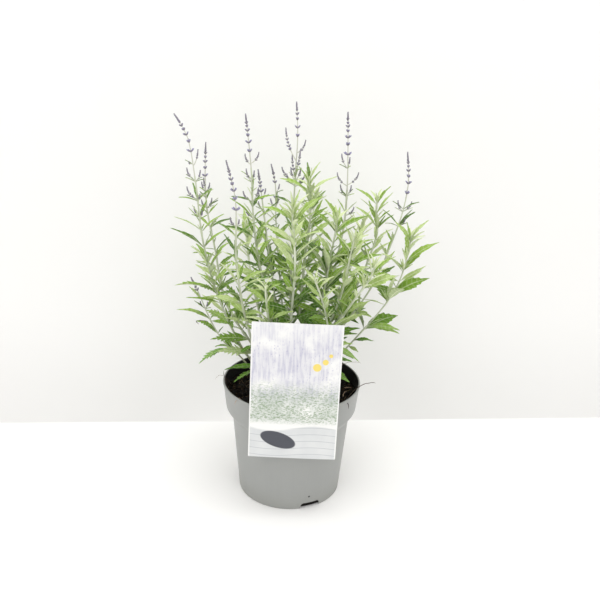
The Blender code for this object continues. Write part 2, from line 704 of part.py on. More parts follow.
def plan_leaves(stems):
    """Settle every leaf of every stem, each node clear of the others."""
    space = Space()
    keep_label_free(space)
    plan = {name: [] for name in stems}
    for owner, (name, stem) in enumerate(stems.items(), start=1):
        for spread in (0.0, 1.5):
            for angle in (0.0, 2.1, 4.2):
                shift = np.array((math.cos(angle), math.sin(angle), 0.0)) * spread
                space.fill(walk(stem_line(stem), 1.2) + shift, owner)
        if stem.bloom_from is not None:
            lines = [spike_line(stem)] + [np.array(pair) for pair in SPIKE_BRANCHES.get(name, [])]
            for line in lines:
                for angle in np.arange(6) * np.pi / 3:
                    shift = np.array((math.cos(angle), math.sin(angle), 0.0)) * 4.5
                    space.fill(walk(line, 1.5) + shift, 100 + owner)
    for owner, (name, stem) in enumerate(stems.items(), start=1):
        rng = np.random.default_rng(SEED + owner)
        for wanted in PLACED_LEAVES.get(name, []):
            place_by_eye(stem, wanted, owner, space, plan[name], rng)
    for owner, (name, stem) in enumerate(stems.items(), start=1):
        rng = np.random.default_rng(SEED * 10 + owner)
        line = leafy_line(stem)
        top = line[-1][2]
        turn = stem.turn
        height = stem.leaf_from
        while height < top - 8.0:
            share = (height - stem.leaf_from) / (top - stem.leaf_from)
            for half in (0.0, 180.0):
                length = stem.leaf_length * (1.0 - 0.45 * share ** 2) * rng.uniform(0.82, 1.08)
                lift = 44.0 + 20.0 * share + rng.uniform(-12.0, 12.0)
                place_by_rule(at_height(line, height + half / 90.0), turn + half + rng.uniform(-15, 15),
                              lift, length, kind_of(length), owner, space, plan[name], rng)
            turn += 90.0
            height += NODE_SPACING * (1.0 - 0.25 * share) * rng.uniform(0.9, 1.1)
        if stem.bloom_from is None:
            for leaf_number in range(TUFT_LEAVES):
                root = at_height(line, top - 2.0 - 2.2 * leaf_number)
                length = 13.0 + 2.6 * leaf_number
                place_by_rule(root, turn + 137.5 * leaf_number, 74.0 - 5.0 * leaf_number, length,
                              "tuft", owner, space, plan[name], rng)
    return plan


def taper(line, low, high):
    """Radii that shrink evenly with height along a line."""
    share = np.linspace(0.0, 1.0, len(line))
    return low + (high - low) * share


def fuse(trunk, parts):
    """Join the parts to the trunk by one union, and remove them."""
    collection = bpy.data.collections.new(trunk.name + "_parts")
    bpy.context.scene.collection.children.link(collection)
    for part in parts:
        bpy.context.scene.collection.objects.unlink(part)
        collection.objects.link(part)
    union = trunk.modifiers.new("Fuse", "BOOLEAN")
    union.operation = "UNION"
    union.operand_type = "COLLECTION"
    union.solver = "EXACT"
    union.collection = collection
    depsgraph = bpy.context.evaluated_depsgraph_get()
    fused = bpy.data.meshes.new_from_object(trunk.evaluated_get(depsgraph))
    trunk.modifiers.clear()
    plain = trunk.data
    trunk.data = fused
    bpy.data.meshes.remove(plain)
    fused.name = trunk.name
    for part in parts:
        bpy.data.objects.remove(part)
    bpy.data.collections.remove(collection)


def make_stem(name, stem, leaves):
    """One leafy stem: its tube and its blades as one body."""
    line = leafy_line(stem)
    radii = taper(line, STEM_FOOT_RADIUS, STEM_TOP_RADIUS)
    trunk = add_solid("leafy_stem_" + name, *tube(line, radii, STEM_SIDES), kind="leaf")
    parts = [add_solid("blade", *blade_mesh(leaf)) for leaf in leaves]
    fuse(trunk, parts)
    return trunk


def whorl_places(length):
    """Distances from a spike's tip to its whorls, wider apart lower down."""
    place, step, places = SPIKE_TAPER, SPIKE_FIRST_GAP, []
    while place < length - 3.5:
        places.append(place)
        place += step
        step = min(step * SPIKE_GAP_GROWTH, SPIKE_LAST_GAP)
    return places


def raise_bud(points, corners, way, length, width):
    """Raise a narrow bud from a four-cornered face: a belly ring and a point. Return its faces."""
    root = points[corners].mean(axis=0)
    if width is None:
        points = np.vstack([points, root + way * length])
        top = len(points) - 1
        return points, [(corners[i], corners[(i + 1) % 4], top) for i in range(4)]
    shape = points[corners] - root
    shape = shape * (width / 2 / np.linalg.norm(shape, axis=1).mean())
    belly = root + way * length * 0.5 + shape
    start = len(points)
    points = np.vstack([points, belly, root + way * length])
    faces = []
    for corner in range(4):
        after = (corner + 1) % 4
        faces += [(corners[corner], corners[after], start + after),
                  (corners[corner], start + after, start + corner),
                  (start + corner, start + after, start + 4)]
    return points, faces


def spike_mesh(line, scale=1.0, full=True):
    """A spike: a square stalk, raised buds at each whorl and a swollen, pointed top.

    A whorl has two long buds and two short ones, and each whorl is a quarter turn from the
    next, so that it looks wide and narrow by turns from any side. Full buds have a belly.
    """
    track = walk(line, 0.5)
    last = len(track) - 1
    whorls = [last - int(place * 2) for place in whorl_places(last / 2)]
    half = max(1, int(WHORL_HEIGHT * scale))
    stops = {0: SPIKE_RADIUS}
    for whorl in whorls:
        stops[whorl - half] = SPIKE_RADIUS
        stops[whorl + half] = SPIKE_RADIUS * 1.1
    for below_tip, radius in ((7.0, 1.5), (3.5, 1.2), (0.0, 0.1)):
        stops[last - int(below_tip * 2)] = radius
    order = sorted(stops)
    radii = np.array([stops[stop] for stop in order]) * scale
    points, _ = tube(track[order], radii, SPIKE_SIDES, pointed=True, turn=math.pi / 4)
    tip = len(points) - 1
    faces = [(0, 3, 2, 1)]
    for level, (low, high) in enumerate(zip(order[:-2], order[1:-1])):
        for side in range(4):
            after = (side + 1) % 4
            face = [level * 4 + side, level * 4 + after, level * 4 + 4 + after, level * 4 + 4 + side]
            if (low + high) // 2 not in whorls:
                faces += split_quad(face)
                continue
            number = whorls.index((low + high) // 2)
            is_long = (side + number) % 2 == 0
            size = scale * min(1.0, 0.6 + 0.08 * number)
            out = unit(points[face].mean(axis=0) - track[(low + high) // 2])
            rise = unit(track[high] - track[low]) * (1.05 if is_long else 0.8)
            length = BUD_LENGTH * size * (1.0 if is_long else 0.62)
            width = BUD_WIDTH * size if is_long and full else None
            points, bud = raise_bud(points, face, unit(out + rise), length, width)
            faces += bud
    top = (len(order) - 2) * 4
    faces += [(top + side, top + (side + 1) % 4, tip) for side in range(4)]
    return points, faces


def make_spike(name, stem):
    """One flower spike with its side branches as one body."""
    line = spike_line(stem)
    spike = add_solid("flower_spike_" + name, *spike_mesh(line), kind="spike")
    parts = []
    for start, end in SPIKE_BRANCHES.get(name, []):
        root = at_height(line, start[2])
        bow = (root + np.array(end)) / 2 + np.array((end[0] - root[0], 0.0, -4.0)) * 0.18
        branch = bezier(np.array([root, bow, end], dtype=float), np.linspace(0.0, 1.0, 5))
        parts.append(add_solid("branch", *spike_mesh(branch, 0.85, full=False)))
    if parts:
        fuse(spike, parts)
    return spike


def clear_scene():
    """Remove every object of the start-up scene."""
    for item in list(bpy.data.objects):
        bpy.data.objects.remove(item)


def main():
    """Build the whole potted plant."""
    clear_scene()
    make_pot()
    make_soil(STEMS)
    make_card()
    make_stake()
    plan = plan_leaves(STEMS)
    for name, stem in STEMS.items():
        make_stem(name, stem, plan[name])
        if stem.bloom_from is not None:
            make_spike(name, stem)


if __name__ == "__main__":
    main()
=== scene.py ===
"""Potted Russian sage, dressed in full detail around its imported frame.

Sizes are millimetres and heights are over the surface that the pot stands on. The picture
label hangs towards -Y. A mesh is turned into metres when it is made. The routes of the stems
and the plan of their large leaves repeat the part's source, so that each detailed piece keeps
the form of the solid that it stands for.
"""

import logging
import math
from dataclasses import dataclass, field
from enum import Enum
from itertools import product
from typing import NamedTuple

import bpy
import numpy as np
from bpy.types import Material, Mesh, Node, NodeSocket as Socket, Object
from mathutils import Matrix


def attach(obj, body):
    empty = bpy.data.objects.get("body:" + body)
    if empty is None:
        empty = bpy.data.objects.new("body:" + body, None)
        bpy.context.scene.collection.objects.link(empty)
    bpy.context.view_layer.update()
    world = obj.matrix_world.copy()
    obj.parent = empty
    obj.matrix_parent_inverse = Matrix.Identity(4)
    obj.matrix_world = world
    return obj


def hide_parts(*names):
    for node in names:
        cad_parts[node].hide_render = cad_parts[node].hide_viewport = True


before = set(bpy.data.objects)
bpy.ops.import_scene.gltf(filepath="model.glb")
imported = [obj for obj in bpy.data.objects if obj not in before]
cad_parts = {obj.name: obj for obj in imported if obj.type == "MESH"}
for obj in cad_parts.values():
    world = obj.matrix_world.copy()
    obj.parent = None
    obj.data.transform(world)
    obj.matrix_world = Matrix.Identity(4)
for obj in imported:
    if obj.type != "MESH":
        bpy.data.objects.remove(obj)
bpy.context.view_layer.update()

LOG = logging.getLogger("sage")
Array = np.ndarray
Draws = np.random.Generator
Colour = tuple[float, float, float]
Point = tuple[float, float, float]
MM = 0.001       # a millimetre in metres
GAP = 0.3        # room between pieces that are close together
SEED = 41        # start of every random draw
NO_TRIANGLES = np.zeros((0, 3), dtype=int)


# -------- materials as arithmetic

class Signal:
    """A number that flows through a material, written as ordinary arithmetic."""

    def __init__(self, graph: "Graph", socket: Socket) -> None:
        """Wrap an output socket of a graph."""
        self.graph = graph
        self.socket = socket

    def join(self, operation: str, *values: "Signal | float") -> "Signal":
        """Join values, in the node's order, by one Math node."""
        node = self.graph.node("Math", {"operation": operation}, dict(enumerate(values)))
        return Signal(self.graph, node.outputs[0])

    def __add__(self, other: "Signal | float") -> "Signal":
        """Sum of two values."""
        return self.join("ADD", self, other)

    def __sub__(self, other: "Signal | float") -> "Signal":
        """Difference of two values."""
        return self.join("SUBTRACT", self, other)

    def __rsub__(self, other: float) -> "Signal":
        """Difference with the number in front."""
        return self.join("SUBTRACT", other, self)

    def __mul__(self, other: "Signal | float") -> "Signal":
        """Product of two values."""
        return self.join("MULTIPLY", self, other)

    __radd__ = __add__
    __rmul__ = __mul__

    def size(self) -> "Signal":
        """The value without its sign."""
        return self.join("ABSOLUTE", self)

    def part(self) -> "Signal":
        """The value's part after the decimal point."""
        return self.join("FRACT", self)

    def wave(self) -> "Signal":
        """Sine of the value in radians."""
        return self.join("SINE", self)

    def root(self) -> "Signal":
        """Square root of the value."""
        return self.join("SQRT", self)

    def rise(self, low: float, high: float) -> "Signal":
        """Step smoothly from 0 at low to 1 at high."""
        node = self.graph.node("MapRange", {"interpolation_type": "SMOOTHSTEP"},
                               {"Value": self, "From Min": low, "From Max": high})
        return Signal(self.graph, node.outputs[0])


class Graph:
    """One material, built node by node round a Principled shader."""

    def __init__(self, name: str) -> None:
        """Start an empty material."""
        self.material = bpy.data.materials.new(name)
        self.material.use_nodes = True
        self.tree = self.material.node_tree
        self.tree.nodes.clear()
        self.place = self.node("TexCoord").outputs["Object"]

    def node(self, kind: str, settings: dict | None = None, inputs: dict | None = None) -> Node:
        """Add a node.

        Args:
            kind: The node's type, without ShaderNode in front.
            settings: The node's own settings, which are set first.
            inputs: Values or links of its sockets, by name or number.

        Returns:
            The new node.
        """
        node = self.tree.nodes.new("ShaderNode" + kind)
        for name, value in (settings or {}).items():
            setattr(node, name, value)
        for name, value in (inputs or {}).items():
            self.feed(node.inputs[name], value)
        return node

    def feed(self, socket: Socket, value: object) -> None:
        """Link a signal or a socket to an input, or set a plain value on it.

        Args:
            socket: The input.
            value: A signal, an output socket, a number or a tuple.
        """
        source = value.socket if isinstance(value, Signal) else value
        if isinstance(source, Socket):
            self.tree.links.new(source, socket)
        elif socket.type == "RGBA":
            socket.default_value = (*source, 1.0)
        else:
            socket.default_value = source

    def scaled(self, vector: Socket, factors: Point) -> Socket:
        """A vector times a factor along each axis."""
        return self.node("VectorMath", {"operation": "MULTIPLY"}, {0: vector, 1: factors}).outputs[0]

    def noise(self, per_mm: float, detail: float = 2.0, stretch: Point = (1.0, 1.0, 1.0)) -> Signal:
        """Soft noise from 0 to 1 on Object coordinates.

        Args:
            per_mm: Humps in a millimetre.
            detail: Octaves that are added.
            stretch: Further factors along the three axes.

        Returns:
            The noise.
        """
        spread = self.scaled(self.place, tuple(factor * per_mm / MM for factor in stretch))
        node = self.node("TexNoise", {}, {"Vector": spread, "Scale": 1.0, "Detail": detail})
        return Signal(self, node.outputs[0])

    def cells(self, vector: Socket, jitter: float) -> tuple[Signal, Signal]:
        """Scattered cells.

        Args:
            vector: Coordinates in cells.
            jitter: How far the centres stray from their grid, from 0 to 1.

        Returns:
            The distance to the nearest centre, and a chance for each cell.
        """
        node = self.node("TexVoronoi", {}, {"Vector": vector, "Scale": 1.0, "Randomness": jitter})
        chance = self.node("SeparateColor", {}, {0: node.outputs["Color"]}).outputs[0]
        return Signal(self, node.outputs["Distance"]), Signal(self, chance)

    def axes(self, vector: Socket) -> tuple[Signal, Signal, Signal]:
        """The three numbers of a vector."""
        split = self.node("SeparateXYZ", {}, {0: vector})
        return tuple(Signal(self, output) for output in split.outputs)

    def tones(self) -> tuple[Signal, Signal, Signal, Signal]:
        """The four numbers that a piece carries on its points."""
        tone = self.node("Attribute", {"attribute_type": "GEOMETRY", "attribute_name": "tone"})
        split = self.node("SeparateColor", {}, {0: tone.outputs["Color"]})
        return (*(Signal(self, output) for output in split.outputs), Signal(self, tone.outputs["Alpha"]))

    def flat(self, layer: str) -> tuple[Signal, Signal, Socket]:
        """Across and along of a piece's own flat map, and both as a vector."""
        place = self.node("UVMap", {"uv_map": layer}).outputs[0]
        across, along, _ = self.axes(place)
        return across, along, place

    def mix(self, share: "Signal | float", first: object, second: object) -> Socket:
        """Blend two colours or sockets, where the share is how much of the second."""
        return self.node("Mix", {"data_type": "RGBA"}, {0: share, 6: first, 7: second}).outputs[2]

    def finish(self, base: object, roughness: "Signal | float", height: Signal, relief: float,
               constants: dict | None = None) -> Material:
        """Close the graph with its shader.

        Args:
            base: The base colour.
            roughness: The roughness.
            height: Relief of the surface, about 0 to 1.
            relief: Millimetres that a height of 1 stands out.
            constants: Other values of the shader, the same all over.

        Returns:
            The material.
        """
        bump = self.node("Bump", {}, {"Height": height, "Distance": relief * MM, "Strength": 1.0})
        shader = self.node("BsdfPrincipled", {}, {"Base Color": base, "Roughness": roughness,
                                                            "Normal": bump.outputs[0], **(constants or {})})
        self.node("OutputMaterial", {}, {"Surface": shader.outputs[0]})
        return self.material


@dataclass(frozen=True)
class SageSkin:
    """Skin of leaves and stems: green blades with pale veins under a silvery felt.

    The tone on the points is youth, stem, chance and underside. On leaves the youth also holds painted
    light, which makes leaves that stand out of the shrub paler.
    """

    old: Colour = (0.062, 0.160, 0.006)
    grown: Colour = (0.240, 0.395, 0.042)
    young: Colour = (0.53, 0.64, 0.27)
    felt: Colour = (0.80, 0.86, 0.60)
    fresh: Colour = (0.085, 0.290, 0.020)
    silver: Colour = (0.72, 0.76, 0.62)
    sap: Colour = (0.43, 0.47, 0.33)
    wood: Colour = (0.22, 0.19, 0.10)

    def material(self) -> Material:
        """Make the material."""
        graph = Graph("sage_skin")
        youth, stem, chance, under = graph.tones()
        across, along, _ = graph.flat("blade")
        mottle = graph.noise(0.25, 3.0)
        fuzz = graph.noise(2.6, 1.0)
        _, _, height = graph.axes(graph.place)
        # Age is the youth tone with noise, chance and a rise with height added. On leaves the youth also
        # holds painted light, which makes leaves that stand out of the shrub paler.
        age = youth + (mottle - 0.5) * 0.35 + (chance - 0.5) * 0.75 + height.rise(0.20, 0.32) * 0.14
        green = graph.mix(age.rise(0.0, 0.55), self.old, self.grown)
        fresh = (1.0 - height.rise(0.165, 0.225)) * chance.rise(0.1, 0.6)
        green = graph.mix(fresh * 0.7, green, self.fresh)
        green = graph.mix(age.rise(0.4, 1.05), green, self.young)
        rib = 1.0 - (across - 0.5).size().rise(0.015, 0.075)
        vein = 1.0 - ((along * 8.0).part() - 0.5).size().rise(0.03, 0.22)
        margin = (across - 0.5).size().rise(0.44, 0.5)
        below = under.rise(0.5, 0.62)
        felt = rib * 0.5 + vein * 0.14 + margin * 0.25 + age.rise(0.45, 1.2) * 0.55 + below * 0.55
        felt = felt * (0.7 + height.rise(0.2, 0.27) * 0.3)
        skin = graph.mix(felt + (fuzz - 0.5) * 0.3, green, self.felt)
        woody = 1.0 - (height + (chance - 0.5) * 0.05).rise(0.13, 0.19)
        bark = graph.mix(youth.rise(0.1, 0.9), self.sap, self.silver)
        bark = graph.mix(woody * 0.8 + (mottle - 0.5) * 0.5, bark, self.wood)
        base = graph.mix(stem, skin, bark)
        relief = fuzz * 0.35 + mottle * 0.5 - rib * 0.6 - vein * 0.45
        return graph.finish(base, 0.56 + fuzz * 0.2, relief, 0.35,
                            {"Sheen Weight": 0.06, "Sheen Roughness": 0.45, "Sheen Tint": (0.9, 1.0, 0.7),
                             "Specular IOR Level": 0.25})


@dataclass(frozen=True)
class FlowerFelt:
    """Hairy flower buds: grey-purple cups with lavender tips on mauve stalks.

    The tone on the points is the place along a bud, bloom, chance and stalk.
    """

    shade: Colour = (0.165, 0.145, 0.152)
    cup: Colour = (0.285, 0.262, 0.300)
    petal: Colour = (0.320, 0.318, 0.540)
    hair: Colour = (0.60, 0.57, 0.61)
    stalk: Colour = (0.63, 0.65, 0.52)
    mauve: Colour = (0.50, 0.48, 0.50)

    def material(self) -> Material:
        """Make the material."""
        graph = Graph("flower_felt")
        along, bloom, chance, stalk = graph.tones()
        hairs = graph.noise(3.5, 2.0)
        cup = graph.mix(chance, self.shade, self.cup)
        bud = graph.mix(along.rise(0.35, 1.0) * (0.25 + bloom * 0.75), cup, self.petal)
        bud = graph.mix(hairs.rise(0.45, 0.75) * 0.4, bud, self.hair)
        stem = graph.mix(hairs.rise(0.3, 0.7) * 0.6, self.stalk, self.mauve)
        base = graph.mix(stalk, bud, stem)
        return graph.finish(base, 0.7 + hairs * 0.15, hairs, 0.22,
                            {"Sheen Weight": 0.10, "Sheen Roughness": 0.4, "Sheen Tint": (0.9, 0.88, 1.0),
                             "Specular IOR Level": 0.25})


@dataclass(frozen=True)
class PotPlastic:
    """Two-layer pot plastic: satin grey outside with faint streaks and scuffs, black inside.

    The tone on the points is 1 inside. A small dark dot sits low on the front, at the x and the
    height given, in metres, between whose edges it fades out.
    """

    grey: Colour = (0.310, 0.318, 0.310)
    worn: Colour = (0.357, 0.365, 0.357)
    dusty: Colour = (0.30, 0.302, 0.278)
    black: Colour = (0.016, 0.016, 0.017)
    dot: tuple[float, float] = (0.0224, 0.0150)
    dot_edge: tuple[float, float] = (0.0008, 0.0013)

    def material(self) -> Material:
        """Make the material."""
        graph = Graph("pot_plastic")
        inside, _, _, _ = graph.tones()
        streaks = graph.noise(0.35, 3.0, (1.0, 1.0, 0.06))
        clouds = graph.noise(0.03, 3.0)
        specks = graph.noise(0.9, 2.0, (1.0, 1.0, 0.5))
        scratch = graph.noise(0.25, 4.0, (0.25, 0.25, 2.2)).rise(0.62, 0.68)
        x, y, height = graph.axes(graph.place)
        low = 1.0 - height.rise(0.0, 0.03)
        outer = graph.mix(clouds * 0.5 + streaks * 0.3 - 0.2, self.grey, self.worn)
        outer = graph.mix(low * 0.4 + specks.rise(0.62, 0.8) * 0.15, outer, self.dusty)
        outer = graph.mix(scratch * 0.22, outer, self.worn)
        x, up = x - self.dot[0], height - self.dot[1]
        dot = (x * x + up * up).root() + y.rise(-0.01, 0.0)
        outer = graph.mix(1.0 - dot.rise(*self.dot_edge), outer, self.black)
        base = graph.mix(inside, outer, self.black)
        rough = 0.40 + streaks * 0.12 + scratch * 0.15 + low * 0.1
        return graph.finish(base, rough, streaks * 0.5 + specks * 0.3, 0.05, {"Specular IOR Level": 0.5})


@dataclass(frozen=True)
class CompostFinish:
    """Peaty potting soil: near black, with brown crumbs and tan fibres.

    The tone on the points is crumb, fibre and chance.
    """

    peat: Colour = (0.006, 0.005, 0.0045)
    crumb: Colour = (0.020, 0.014, 0.010)
    bark: Colour = (0.055, 0.034, 0.019)
    fibre: Colour = (0.20, 0.14, 0.08)

    def material(self) -> Material:
        """Make the material."""
        graph = Graph("compost")
        crumb, fibre, chance, _ = graph.tones()
        grain = graph.noise(0.9, 4.0)
        damp = graph.noise(0.06, 2.0)
        base = graph.mix(grain.rise(0.45, 0.75) * 0.7, self.peat, self.crumb)
        base = graph.mix(crumb * chance.rise(0.35, 1.0) * 0.8, base, self.bark)
        base = graph.mix(fibre * 0.8, base, self.fibre)
        return graph.finish(base, 0.82 + damp * 0.16, grain, 0.8, {"Specular IOR Level": 0.15})


@dataclass(frozen=True)
class DryFibre:
    """Dry roots, straws and twigs, from pink-brown to dark. The tone is darkness first."""

    pale: Colour = (0.42, 0.30, 0.22)
    dark: Colour = (0.045, 0.030, 0.022)

    def material(self) -> Material:
        """Make the material."""
        graph = Graph("dry_fibre")
        dark, _, _, _ = graph.tones()
        grain = graph.noise(1.2, 2.0)
        base = graph.mix(dark + (grain - 0.5) * 0.5, self.pale, self.dark)
        return graph.finish(base, 0.75 + grain * 0.15, grain, 0.2)


@dataclass(frozen=True)
class CardPrint:
    """Coated card with a plain generic print: lilac dots in streaks over a green band of ovals,
    three gold discs, and below them fine lines and a dark oval.

    The tone on the points is the printed face. The flat map runs over the whole card.
    """

    paper: Colour = (0.86, 0.86, 0.85)
    lilac: Colour = (0.40, 0.39, 0.56)
    haze: Colour = (0.52, 0.515, 0.62)
    sage: Colour = (0.22, 0.31, 0.18)
    mist: Colour = (0.41, 0.47, 0.41)
    pebble: Colour = (0.44, 0.47, 0.50)
    line: Colour = (0.40, 0.42, 0.45)
    slate: Colour = (0.050, 0.054, 0.072)
    gold: Colour = (0.86, 0.66, 0.09)
    width: float = 90.0
    length: float = 150.0

    def marks(self, graph: Graph, spacing: Point, turn: float) -> tuple[Signal, Signal]:
        """Scattered marks of the print.

        Args:
            graph: The material.
            spacing: Marks in a millimetre across and up, before they are turned.
            turn: Their turn in radians.

        Returns:
            The distance to the nearest mark, and a chance for each mark.
        """
        sized = graph.scaled(graph.flat("print")[2], (self.width, self.length, 0.0))
        turned_cells = graph.node("Mapping", {"vector_type": "POINT"},
                                  {0: sized, "Rotation": (0.0, 0.0, turn), "Scale": spacing})
        return graph.cells(turned_cells.outputs[0], 0.9)

    def disc(self, across: Signal, up: Signal, centre: tuple[float, float],
             reach: tuple[float, float]) -> Signal:
        """A filled ellipse of the print.

        Args:
            across: Millimetres from the card's left edge.
            up: Millimetres from its lower edge.
            centre: Middle of the ellipse.
            reach: Half its width and half its height.

        Returns:
            1 inside and 0 outside.
        """
        x = (across - centre[0]) * (1.0 / reach[0])
        y = (up - centre[1]) * (1.0 / reach[1])
        return 1.0 - (x * x + y * y).root().rise(0.96, 1.04)

    def material(self) -> Material:
        """Make the material."""
        graph = Graph("card_print")
        front, _, _, _ = graph.tones()
        u, v, _ = graph.flat("print")
        across, up = u * self.width, v * self.length
        drift = graph.noise(0.045, 3.0)
        streak = graph.noise(0.42, 2.0, (1.0, 1.0, 0.10)).rise(0.42, 0.62)
        high = v.rise(0.36, 0.52) * (1.0 - v.rise(0.8, 1.0) * 0.5)
        base = graph.mix(high * drift.rise(0.3, 0.6) * (0.45 + streak * 0.45), self.paper, self.haze)
        for per_mm, turn, share in ((0.30, 0.35, 0.7), (0.46, 1.1, 0.9), (0.62, 0.7, 0.8)):
            dot, chance = self.marks(graph, (per_mm, per_mm * 0.6, 0.0), turn)
            dots = (1.0 - (dot + chance * 0.2).rise(0.28, 0.42)) * high * chance.rise(0.1, 0.8)
            base = graph.mix(dots * (0.25 + streak * 0.75) * share, base, self.lilac)
        band = v.rise(0.25, 0.31) * (1.0 - (v + drift * 0.1).rise(0.48, 0.66))
        base = graph.mix(band * drift.rise(0.25, 0.6) * 0.6, base, self.mist)
        for turn, wide, tall in ((0.9, 0.24, 0.6), (-0.7, 0.3, 0.7), (0.1, 0.42, 0.9), (1.6, 0.36, 0.8)):
            oval, chance = self.marks(graph, (wide, tall, 0.0), turn)
            ovals = (1.0 - oval.rise(0.30, 0.44)) * band * chance.rise(0.05, 0.8)
            base = graph.mix(ovals * 0.75, base, self.sage)
        sway = (across * 0.07).wave() * 1.6
        low = 1.0 - ((up + sway * 2.0) * (1.0 / self.length)).rise(0.22, 0.24)
        base = graph.mix(low * (0.25 + drift * 0.5), base, self.pebble)
        lines = 1.0 - (((up + sway) * 0.13).part() - 0.5).size().rise(0.02, 0.06)
        base = graph.mix(lines * low * 0.7, base, self.line)
        lens = self.disc(across, up + (across - 30.0) * 0.25, (30.0, 21.0), (18.0, 9.0))
        base = graph.mix(lens, base, self.slate)
        for centre, reach in (((66.0, 104.0), 4.2), ((74.0, 110.0), 3.0), ((79.0, 117.0), 2.0)):
            base = graph.mix(self.disc(across, up, centre, (reach, reach)) * 0.9, base, self.gold)
        inner = (u - 0.5).size().rise(0.485, 0.487)
        base = graph.mix(1.0 - front * (1.0 - inner), base, self.paper)
        fibres = graph.noise(1.5, 2.0)
        return graph.finish(base, 0.30 + fibres * 0.1, fibres, 0.02,
                            {"Coat Weight": 0.25, "Coat Roughness": 0.2})


@dataclass(frozen=True)
class WhitePlastic:
    """Moulded white plastic with a faint grain."""

    white: Colour = (0.80, 0.80, 0.79)
    soiled: Colour = (0.42, 0.38, 0.32)

    def material(self) -> Material:
        """Make the material."""
        graph = Graph("white_plastic")
        grain = graph.noise(0.6, 3.0)
        _, _, height = graph.axes(graph.place)
        dirt = (1.0 - height.rise(0.114, 0.128)) * grain.rise(0.3, 0.6)
        base = graph.mix(dirt * 0.8, self.white, self.soiled)
        return graph.finish(base, 0.38 + grain * 0.12, grain, 0.04)


@dataclass(frozen=True)
class StudioPaper:
    """Pale studio paper, a bright floor and a wall, which glows with painted light.

    The paper's own glowing is painted light. It is even on the floor, weaker on the wall and fading out
    towards the wall's foot as painted shade. It is raised in painted patches of light on the wall, low
    behind the pot and behind the plant's top. A patch has a middle, an inner and an outer reach, in metres.
    """

    pale: Colour = (0.80, 0.797, 0.79)
    shade: Colour = (0.78, 0.777, 0.77)
    dark: Colour = (0.0, 0.0, 0.0)
    painted_glow: Colour = (1.0, 0.997, 0.985)
    painted_glow_strength: float = 0.25
    painted_light_behind_pot: Point = (-0.008, -0.02, 0.19)
    painted_light_behind_pot_heights: tuple[float, float] = (-0.05, 0.19)
    painted_light_behind_plant: Point = (0.02, 0.0, 0.22)
    painted_light_behind_plant_heights: Point = (0.27, 0.02, 0.15)

    def patch(self, place: Signal, middle: float, inner: float, outer: float) -> Signal:
        """1 near a middle, falling to 0 from the inner to the outer reach on both sides."""
        return 1.0 - (place - middle).size().rise(inner, outer)

    def material(self) -> Material:
        """Make the material."""
        graph = Graph("studio_paper")
        clouds = graph.noise(0.004, 2.0)
        base = graph.mix(clouds, self.pale, self.shade)
        x, _, height = graph.axes(graph.place)
        # Painted patches of light: one low on the wall behind the pot, one behind the plant's top.
        near = self.patch(x, *self.painted_light_behind_pot) * (1.0 - height.rise(*self.painted_light_behind_pot_heights))
        wall = height.rise(0.0005, 0.0015)
        behind = self.patch(x, *self.painted_light_behind_plant) * self.patch(height, *self.painted_light_behind_plant_heights)
        # Painted light and shade: the floor glows evenly. The wall glows less and fades out at its foot as
        # painted shade, and glows more in the two painted patches of light.
        lit = 0.5 - wall * (0.5 - height.rise(0.0, 0.18) * 0.3 - near * 1.3 - behind * 0.2)
        return graph.finish(base, 0.85 + clouds * 0.05, graph.noise(0.5, 2.0), 0.02,
                            {"Emission Color": graph.mix(lit, self.dark, self.painted_glow),
                             "Emission Strength": self.painted_glow_strength})


# -------- shapes as whole arrays

def unit(vectors: Array) -> Array:
    """Vectors at length one, along the last axis."""
    vectors = np.asarray(vectors, dtype=float)
    return vectors / np.linalg.norm(vectors, axis=-1, keepdims=True)


def ring_section(sides: int, groove: float = 0.0) -> Array:
    """A round section whose every other corner is drawn in.

    Args:
        sides: Number of corners.
        groove: Share by which every other corner is nearer to the middle.

    Returns:
        Corners in an array (sides, 2).
    """
    angles = np.arange(sides) * 2 * np.pi / sides
    reach = 1.0 - groove * (np.arange(sides) % 2)
    return np.stack([np.cos(angles), np.sin(angles)], axis=1) * reach[:, None]


def skins(paths: Array, sizes: Array, section: Array, across: Array) -> Array:
    """Carry a section along many paths at once, with a point at both ends of each.

    Where t is the way of the path, s the part of across that is square to t, and o the cross
    product of t and s, a ring's point is the path's point, plus s times the first size times
    the corner's x, plus o times the second size times the corner's y.

    Args:
        paths: Points of each path (count, steps, 3).
        sizes: Sizes along s and o at each step (count, steps, 2).
        section: Corners of the section (sides, 2).
        across: A direction for each path (count, 3).

    Returns:
        Points of each skin: its first point, its rings and its last point.
    """
    steps = np.diff(paths, axis=1)
    ways = unit(steps[:, :-1] + steps[:, 1:])
    lean = across[:, None, :]
    side = unit(lean - ways * np.sum(lean * ways, axis=-1, keepdims=True))
    other = np.cross(ways, side)
    reach = sizes[:, 1:-1, None, :] * section
    rings = (paths[:, 1:-1, None, :] + side[:, :, None, :] * reach[..., :1]
             + other[:, :, None, :] * reach[..., 1:])
    return np.concatenate([paths[:, :1], rings.reshape(len(paths), -1, 3), paths[:, -1:]], axis=1)


def skin_faces(rings: int, sides: int) -> tuple[Array, Array]:
    """Faces of a skin made of a point, rings and a point, turned outwards.

    Args:
        rings: Number of rings.
        sides: Points in a ring.

    Returns:
        Corner numbers of the quads and of the triangles.
    """
    ring = 1 + np.arange(rings * sides).reshape(rings, sides)
    after = np.roll(ring, -1, axis=1)
    quads = np.stack([ring[:-1], after[:-1], after[1:], ring[1:]], axis=-1).reshape(-1, 4)
    first = np.stack([np.zeros(sides, dtype=int), after[0], ring[0]], axis=-1)
    last = np.stack([ring[-1], after[-1], np.full(sides, rings * sides + 1)], axis=-1)
    return quads, np.concatenate([first, last])


